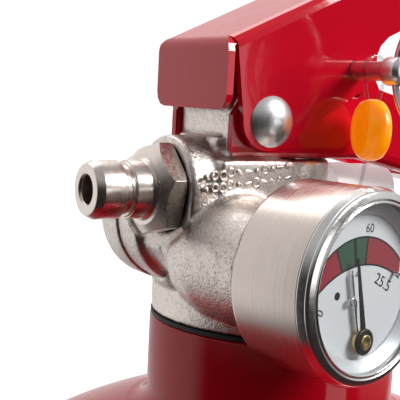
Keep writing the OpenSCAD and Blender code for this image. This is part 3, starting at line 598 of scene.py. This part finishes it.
def cast_marks():
    """Generic raised rings, dots and bars in two uneven rows on the front of the casting."""
    rng = random.Random(7)
    facing_front = Matrix.Rotation(math.radians(90), 4, "X")
    start_x, end_x, front_y = -26.6, -6.2, -11.35
    row_z, row_gap, climb, wander = 28.6, 2.4, 0.1, 0.2
    meshes = []
    x = start_x
    while x < end_x:
        low = row_z + climb * (x - start_x) + rng.uniform(-wander, wander)
        for level in range(2):
            spot = (x + rng.uniform(-wander, wander), front_y, low + row_gap * level)
            place = turned_frame(spot) @ facing_front
            kind = rng.choice(("ring", "bar", "dot"))
            if kind == "ring":
                size = rng.uniform(0.7, 0.9)
                path = [(size * math.cos(a), size * math.sin(a), 0)
                        for a in (math.pi * k / 8 for k in range(16))]
                meshes.append(tube_mesh(path, 0.36, place, 8, closed=True))
            elif kind == "bar":
                lean = rng.uniform(-0.5, 0.5)
                path = [(-0.7, -lean, 0), (0, 0, 0.12), (0.7, lean, 0)]
                meshes.append(tube_mesh(path, 0.4, place, 8))
            else:
                bead = [(0, -0.3), (0.6, -0.2), (0.65, 0.1), (0.4, 0.45), (0, 0.52)]
                meshes.append(lathe_mesh(bead, place, segments=14))
        x += rng.uniform(1.7, 2.2)
    return meshes


def joined_mesh(meshes):
    """Several meshes in one, with double points merged."""
    bm = bmesh.new()
    for mesh in meshes:
        bm.from_mesh(mesh)
    bmesh.ops.remove_doubles(bm, verts=bm.verts, dist=1e-6)
    joined = bpy.data.meshes.new("joined")
    bm.to_mesh(joined)
    bm.free()
    return joined


def build_casting():
    """The CAD casting, remeshed and softened so that its shapes run into each other."""
    voxel_mm, smooth_rounds = 0.5, 22
    obj = bpy.data.objects.new("casting_blank", joined_mesh([NODES["valve_body"].data]))
    bpy.context.collection.objects.link(obj)
    remesh = obj.modifiers.new("remesh", "REMESH")
    remesh.mode, remesh.voxel_size = "VOXEL", voxel_mm * MM
    blend = obj.modifiers.new("blend", "SMOOTH")
    blend.factor, blend.iterations = 0.5, smooth_rounds
    mesh = baked(obj)
    bpy.data.objects.remove(obj)
    casting = finished("casting", mesh, CAST, smooth_angle=180)
    marks = finished("casting_marks", joined_mesh(cast_marks()), CAST, smooth_angle=70)
    for piece in (casting, marks):
        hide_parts("valve_body")


# ---- outlet, side cap, relief valve ------------------------------------------------------

def hexagon_corner_r(across_flats):
    return across_flats / 2 / math.cos(math.pi / 6)


def hexagon_piece(name, across_flats, turn, outline, place, material):
    """A hexagon whose corners are turned down to an outline."""
    low, high = outline[0][1], outline[-1][1]
    corners = arc((0, 0), hexagon_corner_r(across_flats), turn, turn + 300, 5)
    block = prism_mesh(corners, low - 1, high + 1, place)
    turned = lathe_mesh(outline, place, segments=144)
    obj = finished(name, combined(block, turned, "INTERSECT"), material, smooth_angle=20)
    soft_edges(obj, 0.12, 18)
    return obj


def build_outlet():
    back, hex_front, collar, lap = 29.45, 32.7, 34.2, 0.2
    corner_r = hexagon_corner_r(HEX_AF)
    nut = hexagon_piece("outlet_hexagon", HEX_AF, HEX_TURN,
                        [(0, back), (corner_r - 0.7, back), (corner_r + 0.1, back + 0.5),
                         (corner_r + 0.1, hex_front - 0.4), (SPIGOT_R + 1.3, collar + lap),
                         (SPIGOT_R + 0.4, collar + lap), (0, collar + lap)],
                        AT_OUTLET, HEX_METAL)
    groove, half, reach = 39.6, 0.9, OUTLET_REACH
    collar_r, step_r, groove_r = SPIGOT_R + 0.5, SPIGOT_R - 0.35, SPIGOT_R - 1.0
    spigot = lathe("outlet_spigot",
                   [(BORE_R, collar - 1), (collar_r, collar - 1), (collar_r, collar + 0.3),
                    (SPIGOT_R, collar + 0.8), (SPIGOT_R, groove - half - 0.3),
                    (step_r, groove - half - 0.3), (step_r, groove - half),
                    (groove_r, groove - half + 0.2), (groove_r, groove + half - 0.2),
                    (SPIGOT_R, groove + half), (SPIGOT_R, reach - 1.5),
                    (SPIGOT_R - 0.75, reach - 0.1), (SPIGOT_R - 1.1, reach),
                    (BORE_R + 0.45, reach), (BORE_R, reach - 0.5)],
                   AT_OUTLET, OUTLET_METAL, closed=True, corner=0.14, segments=160)
    inlet, inlet_r, thread_r = 17.2, BORE_R + 0.9, 6.1
    tail = lathe("outlet_tail", [(inlet_r, inlet), (thread_r, inlet), (thread_r, back + lap),
                                 (inlet_r, back + lap)],
                 AT_OUTLET, OUTLET_METAL, closed=True, segments=96)
    for piece in (nut, spigot, tail):
        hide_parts("outlet_nipple")


def build_side_cap():
    """The plug of the boss opposite the gauge. Its lip laps over the casting, so no gap shows."""
    plug_low, plug_r, face, end, lip_r = 8, 8, 14.1, 22.5, 14.6
    cap = lathe("side_plug", [(0, plug_low), (plug_r, plug_low), (plug_r, face),
                              (lip_r - 0.5, face - 1.3), (lip_r, face - 0.8),
                              (lip_r, end - 2.4), (lip_r - 2.2, end), (0, end)],
                AT_SIDE, CAST, corner=0.9, segments=144)
    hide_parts("side_cap")


def build_relief():
    inlet, collar, cap, end = 6.6, 11.5, 18.0, 30.0
    inlet_r, collar_r, cap_r, vent_r, vent_depth = 3.2, 5.6, 5.3, 1.2, 2.5
    body = lathe("relief_cap",
                 [(0, inlet), (inlet_r, inlet), (inlet_r, collar), (collar_r, collar + 0.5),
                  (collar_r, cap - 0.6), (cap_r, cap - 0.3), (cap_r, end - 1.6),
                  (cap_r - 0.5, end - 0.5), (cap_r - 1.6, end), (vent_r, end),
                  (vent_r, end - vent_depth), (0, end - vent_depth)],
                 AT_RELIEF, RELIEF_PAINTED_GLOW, corner=0.3, segments=112)
    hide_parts("relief_body")


def build_gland():
    low, seat, top = 31.5, 36.05, 40.25
    across_flats, edge_r, thread_r, bore_r = 13.0, 7.6, 7, 3.15
    nut = hexagon_piece("gland_hexagon", across_flats, 0,
                        [(0, seat), (edge_r - 0.3, seat), (edge_r, seat + 0.4),
                         (edge_r, top - 0.5), (edge_r - 1.2, top), (0, top)],
                        ON_NECK, HEX_METAL)
    thread = lathe("gland_thread", [(bore_r, low), (thread_r, low), (thread_r, seat + 0.2),
                                    (bore_r, seat + 0.2)],
                   ON_NECK, OUTLET_METAL, closed=True, segments=96)
    for piece in (nut, thread):
        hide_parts("gland_nut")


# ---- grips, rivet, pin, seal -------------------------------------------------------------

def build_grips():
    for name in ("operating_lever", "carry_handle"):
        soft_edges(NODES[name], 0.35, 33)


def build_rivet():
    head_y, head_r, head_h = 13.3, 5.1, 2.4
    tail_r, tail_h, shank_r = 4.6, 2.0, 2.45

    def dome(radius, height, base, steps=14):
        """Outline of a domed head from its edge to its pole."""
        sphere = (radius ** 2 + height ** 2) / (2 * height)
        half = math.degrees(math.asin(radius / sphere))
        return [(max(x, 0), y) for x, y in
                arc((0, base + height - sphere), sphere, 90 - half, 90, steps)]

    head = dome(head_r, head_h, head_y)
    tail = [(x, -y) for x, y in reversed(dome(tail_r, tail_h, head_y))]
    tail[0], head[-1] = (0, tail[0][1]), (0, head[-1][1])
    outline = tail + [(shank_r, -head_y), (shank_r, head_y)] + head
    rivet = finished("rivet", lathe_mesh(outline, AT_RIVET, segments=128), RIVET_METAL)
    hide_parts("pivot_rivet")


def build_pin():
    far, near, crimp_end, crimp_r = -17.0, 22.6, 27.6, 2.9
    rod = lathe("pin_rod", [(0, far), (PIN_R - 0.9, far), (PIN_R, far + 1), (PIN_R, near - 0.4),
                            (crimp_r - 0.5, near), (crimp_r, near + 0.5),
                            (crimp_r, crimp_end - 0.9), (crimp_r - 0.9, crimp_end),
                            (0, crimp_end)],
                AT_PIN, PIN_METAL, "pin", corner=0.3, segments=72)
    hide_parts("safety_pin")
    ring_r, wire_r, ring_depth = 13.0, 1.0, 2.4
    centre = crimp_end + ring_r - ring_depth
    loop = [(0, ring_r * math.sin(a), centre - ring_r * math.cos(a))
            for a in (2 * math.pi * i / 120 for i in range(120))]
    ring = finished("ring_wire", tube_mesh(loop, wire_r, AT_PIN, 20, closed=True), PIN_METAL,
                    "pin")
    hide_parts("pull_ring")


def build_seal():
    """The seal's disc, and its thread: a loop over the safety pin and a loose end below."""
    r, half = 6.3, 2.6
    disc = lathe("seal_disc",
                 [(0, -half + 0.5), (r - 2.6, -half + 0.5), (r - 2.3, -half), (r - 1.3, -half),
                  (r - 0.4, -half + 0.7), (r, -0.8), (r, 0.8), (r - 0.4, half - 0.7),
                  (r - 1.3, half), (r - 2.3, half), (r - 2.6, half - 0.5), (0, half - 0.5)],
                 AT_SEAL, SEAL, "seal", corner=0.35, segments=112)
    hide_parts("seal_body")
    wire_r, loop_r = 0.4, PIN_R + 1.0
    place = turned_frame((PIN[0], SEAL_Y, PIN[2]))
    leg = [(2.9, -0.8), (2.4, -2.6), (1.7, -5.5), (1.1, -8.2)]
    path = [(-x, 0, z) for x, z in reversed(leg)]
    path += [(x, 0, z) for x, z in reversed(arc((0, 0), loop_r, 0, 180, 14))]
    path += [(x, 0, z) for x, z in leg]
    loose = [(-0.8, 0, -17.5), (-1.6, -0.4, -20.5), (-2.9, -0.9, -24.5), (-3.4, -1.2, -26.5)]
    strands = joined_mesh([tube_mesh(run, wire_r, place, 14) for run in (path, loose)])
    thread = finished("seal_loop", strands, NYLON, "seal", 60)
    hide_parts("seal_thread")


# ---- gauge -------------------------------------------------------------------------------

def build_gauge_case():
    r, wall, hole_r = GAUGE_R, 0.7, 4.6
    back, inside, front = CASE_BACK, CASE_BACK + 1, CASE_FRONT
    case = lathe("gauge_cup", [(hole_r, back), (r - 0.8, back), (r - 0.15, back + 0.35),
                               (r, back + 0.9), (r, front), (r - wall, front),
                               (r - wall, inside), (hole_r, inside)],
                 AT_GAUGE, CASE_METAL, closed=True, corner=0.3, segments=192)
    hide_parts("gauge_case")

    gap = 0.05
    lip, rim, face = BEZEL_LIP_R, r + 0.2, BEZEL_FRONT
    under, seat_r = WINDOW_FRONT + gap, WINDOW_R + gap
    slope, drop, roll = 0.5, 0.35, 0.7
    edge = arc((rim - slope - roll, face - drop - roll), roll, 0, 76, 10)
    bezel = [(seat_r, front + gap), (rim - 0.15, front + gap), (rim, front + 0.25)] + edge
    bezel += [(lip + 1.0, face - 0.05), (lip + 0.8, face - 0.25), (lip + 0.5, face - 0.25),
              (lip + 0.35, face), (lip + 0.15, face - 0.05), (lip, under), (seat_r, under)]
    rim_piece = lathe("gauge_rim", bezel, AT_GAUGE, BEZEL_METAL, closed=True, corner=0.1,
                      segments=192)
    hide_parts("gauge_bezel")

    glass = lathe("gauge_glass", [(0, WINDOW_BACK), (WINDOW_R, WINDOW_BACK),
                                  (WINDOW_R, WINDOW_FRONT), (0, WINDOW_FRONT)],
                  AT_GAUGE, GLASS, corner=0.08, segments=128)
    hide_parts("gauge_window")

    low, high, inner = DIAL_FRONT + gap, WINDOW_BACK - gap, 12.9
    spacer = lathe("gauge_inner_ring", [(inner, low), (WINDOW_R, low), (WINDOW_R, high),
                                        (lip, high), (inner + 0.9, low + 1.1),
                                        (inner, low + 0.3)],
                   AT_GAUGE, RING_WHITE, closed=True, corner=0.25, segments=160)
    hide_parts("gauge_spacer")


def printed(name, outline, lift, material):
    """A flat printed area, a little above the dial."""
    low, ink_t = DIAL_FRONT + lift, 0.012
    finished(name, prism_mesh(outline, low, low + ink_t, AT_GAUGE), material)


def circle_at(centre, radius, x):
    """Height of a circle's upper side at x."""
    return centre[1] + math.sqrt(max(radius ** 2 - (x - centre[0]) ** 2, 0))


def dial_number(name, text, place, size, turn):
    """A printed number with its middle at a place on the dial."""
    curve = bpy.data.curves.new(name, "FONT")
    curve.body, curve.size, curve.extrude = text, size, 0.008
    curve.align_x = curve.align_y = "CENTER"
    obj = bpy.data.objects.new(name, curve)
    bpy.context.collection.objects.link(obj)
    mesh = baked(obj)
    bpy.data.objects.remove(obj)
    spot = Matrix.Translation((place[0], place[1], DIAL_FRONT + 0.04))
    mesh.transform(AT_GAUGE @ spot @ Matrix.Rotation(math.radians(turn), 4, "Z"))
    finished(name, mesh, DIAL_BLACK)


def build_dial():
    r, back = GAUGE_R - 0.9, DIAL_FRONT - 0.5
    plate = lathe("dial_plate", [(0, back), (r, back), (r, DIAL_FRONT), (0, DIAL_FRONT)],
                  AT_GAUGE, DIAL_WHITE, corner=0.1, segments=128)
    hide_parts("gauge_dial")

    upper, upper_r = (-0.5, -6.1), 15.0
    lower, lower_r = (0.0, -14.7), 18.65
    left, right = -12.6, 10.6
    good_start, good_middle, good_end = -24.2, -8.6, 2.6
    line = 0.16

    def limits(x):
        """Heights of the lower and the upper printed arc at x."""
        return circle_at(lower, lower_r, x), circle_at(upper, upper_r, x)

    def slant(angle, height):
        """Where a line from the pivot at this angle reaches a height."""
        return (height - POINTER_PIVOT) * math.tan(math.radians(angle))

    def crossing(angle, which):
        """Where a line from the pivot meets an arc, found by closing in on it."""
        x = 0.0
        for _ in range(12):
            x = slant(angle, limits(x)[which])
        return x

    def field(name, start, end, material):
        """The band between the two printed arcs, cut off by lines from the pivot."""
        steps = 24
        lows, highs = ([start[k] + (end[k] - start[k]) * i / steps for i in range(steps + 1)]
                       for k in (0, 1))
        outline = [(x, limits(x)[0]) for x in lows] + [(x, limits(x)[1]) for x in reversed(highs)]
        printed(name, outline, 0.01, material)

    ends = {angle: (crossing(angle, 0), crossing(angle, 1))
            for angle in (good_start, good_middle, good_end)}
    field("field_low", (left, left), ends[good_start], DIAL_RED)
    field("field_good", ends[good_start], ends[good_end], DIAL_GREEN)
    field("field_high", ends[good_end], (right, right), DIAL_RED)
    for angle, (low_x, high_x) in ends.items():
        a, b = (low_x, limits(low_x)[0]), (high_x, limits(high_x)[1])
        wide = 2.2 * line if angle == good_middle else line
        printed(f"field_line_{int(angle)}", [(a[0] - wide, a[1]), (a[0] + wide, a[1]),
                                             (b[0] + wide, b[1]), (b[0] - wide, b[1])],
                0.03, DIAL_BLACK)
    for name, centre, radius in (("upper", upper, upper_r), ("lower", lower, lower_r)):
        steps = 60
        xs = [left + (right - left) * i / steps for i in range(steps + 1)]
        outline = [(x, circle_at(centre, radius + line, x)) for x in xs]
        outline += [(x, circle_at(centre, radius - line, x)) for x in reversed(xs)]
        printed(f"field_edge_{name}", outline, 0.035, DIAL_BLACK)
    dial_number("number_low", "0", (-10.7, -3.5), 2.3, 58)
    dial_number("number_mid", "14", (-2.1, 2.2), 2.6, 6)
    dial_number("number_high", "25.5", (5.9, 0.2), 2.9, -27)
    dial_number("number_top", "60", (1.2, 10.3), 2.3, -4)
    printed("dial_dot", arc((-6.55, -1.0), 0.72, 0, 352.5, 47), 0.01, DIAL_BLACK)

    stop_angle, stop_reach, post_r, post_top = math.radians(38), 14.4, 0.4, DIAL_FRONT + 1.4
    stop_x, stop_y = stop_reach * math.sin(stop_angle), stop_reach * math.cos(stop_angle)
    stop_place = AT_GAUGE @ Matrix.Translation((stop_x, POINTER_PIVOT + stop_y, 0))
    stop = lathe("stop_post", [(0, DIAL_FRONT), (post_r, DIAL_FRONT), (post_r, post_top - 0.1),
                               (post_r - 0.1, post_top), (0, post_top)],
                 stop_place, SPRING_METAL, corner=0.06, segments=32)
    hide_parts("gauge_stop")


def build_pointer():
    at_pivot = AT_GAUGE @ Matrix.Translation((0, POINTER_PIVOT, 0))
    turn = at_pivot @ Matrix.Rotation(math.radians(POINTER_REST), 4, "Z")
    back, shaft_r, blade_start = POINTER_BACK, 0.75, 1.6
    blade = prism_mesh([(-0.62, blade_start), (0.62, blade_start), (0.5, 6), (0.2, POINTER_LEN),
                        (-0.2, POINTER_LEN), (-0.5, 6)], back, back + 0.3, turn)
    blade = finished("pointer_blade", blade, POINTER_BLACK, "pointer")
    soft_edges(blade, 0.05)
    disc = lathe("pointer_disc", [(shaft_r, back), (HUB_R, back), (HUB_R, back + 0.32),
                                  (HUB_R - 0.2, back + 0.45), (shaft_r, back + 0.45)],
                 turn, POINTER_BLACK, "pointer", corner=0.08, closed=True, segments=96)
    for piece in (blade, disc):
        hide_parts("gauge_pointer")
    low, neck_r, head_r = 43.5, 0.7, 1.4
    hub = lathe("pointer_cap", [(0, low), (HUB_R, low), (HUB_R, back - 0.05),
                                (neck_r, back - 0.05), (neck_r, back + 0.46),
                                (head_r, back + 0.46),
                                (head_r, back + 0.62), (head_r - 0.25, back + 0.72),
                                (0.45, back + 0.66), (0.3, back + 0.6), (0, back + 0.6)],
                turn, BRASS, "pointer", corner=0.06, segments=96)
    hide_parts("pointer_hub")


def build_painted_pointer_reflection():
    """Two thin bright strokes over the dial beside the pointer, one of them hooked: a painted
    reflection of the pointer, drawn as chrome tubes.
    """
    lift = DIAL_FRONT + 0.75
    hook = [(-1.35, 1.8, lift), (-1.9, 4.0, lift), (-2.25, 6.2, lift), (-2.5, 7.4, lift + 0.2),
            (-3.3, 8.2, lift + 0.3), (-4.1, 7.9, lift + 0.2), (-4.2, 7.2, lift), (-3.4, 6.9, lift)]
    stem = [(-1.35, 1.8, lift), (-2.2, 5.0, lift), (-3.1, 9.0, lift), (-3.9, 12.4, lift)]
    at_pivot = AT_GAUGE @ Matrix.Translation((0, POINTER_PIVOT, 0))
    for name, path in (("painted_pointer_reflection_hook", hook), ("painted_pointer_reflection_line", stem)):
        finished(name, tube_mesh(path, 0.24, at_pivot, 12), BEZEL_METAL, smooth_angle=60)


# ---- CAD nodes that keep their own shape -------------------------------------------------

KEPT = {
    "siphon_tube": TUBE_PLASTIC, "siphon_holder": BRASS, "neck_gasket": RUBBER,
    "valve_stem": PIN_METAL, "seat_washer": RUBBER, "stem_seal": RUBBER,
    "stem_spring": SPRING_METAL, "nipple_seal": RUBBER, "relief_poppet": RUBBER,
    "relief_spring": SPRING_METAL, "side_cap_seal": RUBBER, "operating_lever": RED,
    "carry_handle": RED, "gauge_socket": BRASS, "gauge_washer": COPPER, "gauge_bourdon": BRASS,
    "gauge_movement": BRASS,
}


def dress_nodes():
    for name, material in KEPT.items():
        mesh = NODES[name].data
        mesh.materials.clear()
        mesh.materials.append(material)


# ---- stage, light and camera -------------------------------------------------------------

def floor_paint():
    s = Shader("pale_floor", (0.6, 0.6, 0.6), roughness=0.6, Emission_Strength=0.82)
    s.rough(s.noise(400, 2), 0.55, 0.65)
    s.main.inputs["Emission Color"].default_value = (1, 1, 1, 1)
    return s.material


def build_stage():
    """A wide, flat, pale floor that casts no light or reflection on the object."""
    bm = bmesh.new()
    bmesh.ops.create_circle(bm, cap_ends=True, radius=9.0, segments=96)
    mesh = bpy.data.meshes.new("floor")
    bm.to_mesh(mesh)
    bm.free()
    mesh.materials.append(floor_paint())
    floor = bpy.data.objects.new("floor", mesh)
    bpy.context.collection.objects.link(floor)
    floor.visible_glossy = False
    floor.visible_diffuse = False


def build_world():
    """White to the eye. In reflections it is a white backdrop behind, a dim ceiling, a dim wall on
    the right and a dark room in front."""
    world = bpy.data.worlds.new("studio")
    world.use_nodes = True
    bpy.context.scene.world = world
    tree = world.node_tree
    tree.nodes.clear()

    def add(kind, **settings):
        node = tree.nodes.new(kind)
        for key, value in settings.items():
            setattr(node, key, value)
        return node

    def ramped(source, start, end, low, high):
        node = add("ShaderNodeMapRange", interpolation_type="SMOOTHSTEP")
        for socket, value in (("From Min", start), ("From Max", end), ("To Min", low),
                              ("To Max", high)):
            node.inputs[socket].default_value = value
        tree.links.new(source, node.inputs["Value"])
        return node.outputs[0]

    def joined(operation, a, b):
        node = add("ShaderNodeMath", operation=operation)
        tree.links.new(a, node.inputs[0])
        tree.links.new(b, node.inputs[1])
        return node.outputs[0]

    coords = add("ShaderNodeTexCoord")
    split = add("ShaderNodeSeparateXYZ")
    tree.links.new(coords.outputs["Generated"], split.inputs[0])
    x, y, z = split.outputs
    backdrop = joined("MULTIPLY", ramped(y, 0.02, 0.42, 0.0, 1.0),
                      ramped(z, -0.75, -0.42, 0.15, 1.0))
    ceiling = ramped(z, 0.12, 0.75, 0.0, 0.45)
    right_wall = joined("MULTIPLY", ramped(x, 0.73, 0.82, 0.0, 0.6),
                        ramped(z, -0.35, 0.0, 0.0, 1.0))
    room = joined("MAXIMUM", joined("MAXIMUM", backdrop, ceiling), right_wall)
    tint = add("ShaderNodeMix", data_type="RGBA")
    tint.inputs["A"].default_value = (0.026, 0.021, 0.020, 1)
    tint.inputs["B"].default_value = (0.98, 0.97, 0.965, 1)
    tree.links.new(room, tint.inputs["Factor"])
    studio = add("ShaderNodeBackground")
    tree.links.new(tint.outputs["Result"], studio.inputs["Color"])
    studio.inputs["Strength"].default_value = 1.0
    white = add("ShaderNodeBackground")
    white.inputs["Strength"].default_value = 1.05
    white.inputs["Color"].default_value = (1, 1, 1, 1)
    path = add("ShaderNodeLightPath")
    mix = add("ShaderNodeMixShader")
    tree.links.new(path.outputs["Is Camera Ray"], mix.inputs[0])
    tree.links.new(studio.outputs[0], mix.inputs[1])
    tree.links.new(white.outputs[0], mix.inputs[2])
    out = add("ShaderNodeOutputWorld")
    tree.links.new(mix.outputs[0], out.inputs["Surface"])


HEAD = Vector((-0.005, -0.01, (NECK_TOP + 30) * MM))


def softbox(name, azimuth, elevation, width, height, power):
    """A rectangular light aimed at the valve. Azimuth 0 is on the -Y side, 90 on the +X side."""
    distance = 1.5
    a, e = math.radians(azimuth), math.radians(elevation)
    away = Vector((math.sin(a) * math.cos(e), -math.cos(a) * math.cos(e), math.sin(e)))
    data = bpy.data.lights.new(name, "AREA")
    data.shape, data.size, data.size_y = "RECTANGLE", width, height
    data.energy = power
    lamp = bpy.data.objects.new(name, data)
    lamp.location = HEAD + away * distance
    lamp.rotation_mode = "QUATERNION"
    lamp.rotation_quaternion = (-away).to_track_quat("-Z", "Y")
    bpy.context.collection.objects.link(lamp)


def build_lights():
    softbox("key", 44, 36, 0.55, 0.55, 24)
    softbox("back", 172, 52, 0.9, 0.7, 5)
    softbox("strip", 25, 1, 0.55, 0.5, 1.5)


def build_camera():
    """A close view of the valve. It looks at a point beside and above the middle of the neck's
    top face, given in millimetres; focal_share is the focal length over the sensor's width."""
    yaw, pitch, roll = (math.radians(a) for a in (-32.93, 6.42, 2.98))
    distance, aside, above = 209.21, -17.23, 23.71
    focal_share = 2.394
    back = Vector((math.sin(yaw) * math.cos(pitch), -math.cos(yaw) * math.cos(pitch),
                   math.sin(pitch)))
    level = Vector((math.cos(yaw), math.sin(yaw), 0))
    upward = back.cross(level)
    right = level * math.cos(roll) + upward * math.sin(roll)
    up = upward * math.cos(roll) - level * math.sin(roll)
    target = level * aside + Vector((0, 0, above + NECK_TOP))
    place = (target + back * distance) * MM
    data = bpy.data.cameras.new("camera")
    data.sensor_width = 36.0
    data.lens = data.sensor_width * focal_share
    data.clip_start, data.clip_end = 0.01, 50
    camera = bpy.data.objects.new("camera", data)
    turn = Matrix((right, up, back)).transposed().to_4x4()
    camera.matrix_world = Matrix.Translation(place) @ turn
    bpy.context.collection.objects.link(camera)
    bpy.context.scene.camera = camera


build_camera()
build_world()
build_lights()
build_stage()
build_cylinder()
build_foot_and_label()
build_casting()
build_outlet()
build_side_cap()
build_relief()
build_gland()
build_grips()
build_rivet()
build_pin()
build_seal()
build_gauge_case()
build_dial()
build_pointer()
build_painted_pointer_reflection()
dress_nodes()
bpy.context.scene.view_settings.view_transform = "Standard"

bpy.context.view_layer.update()
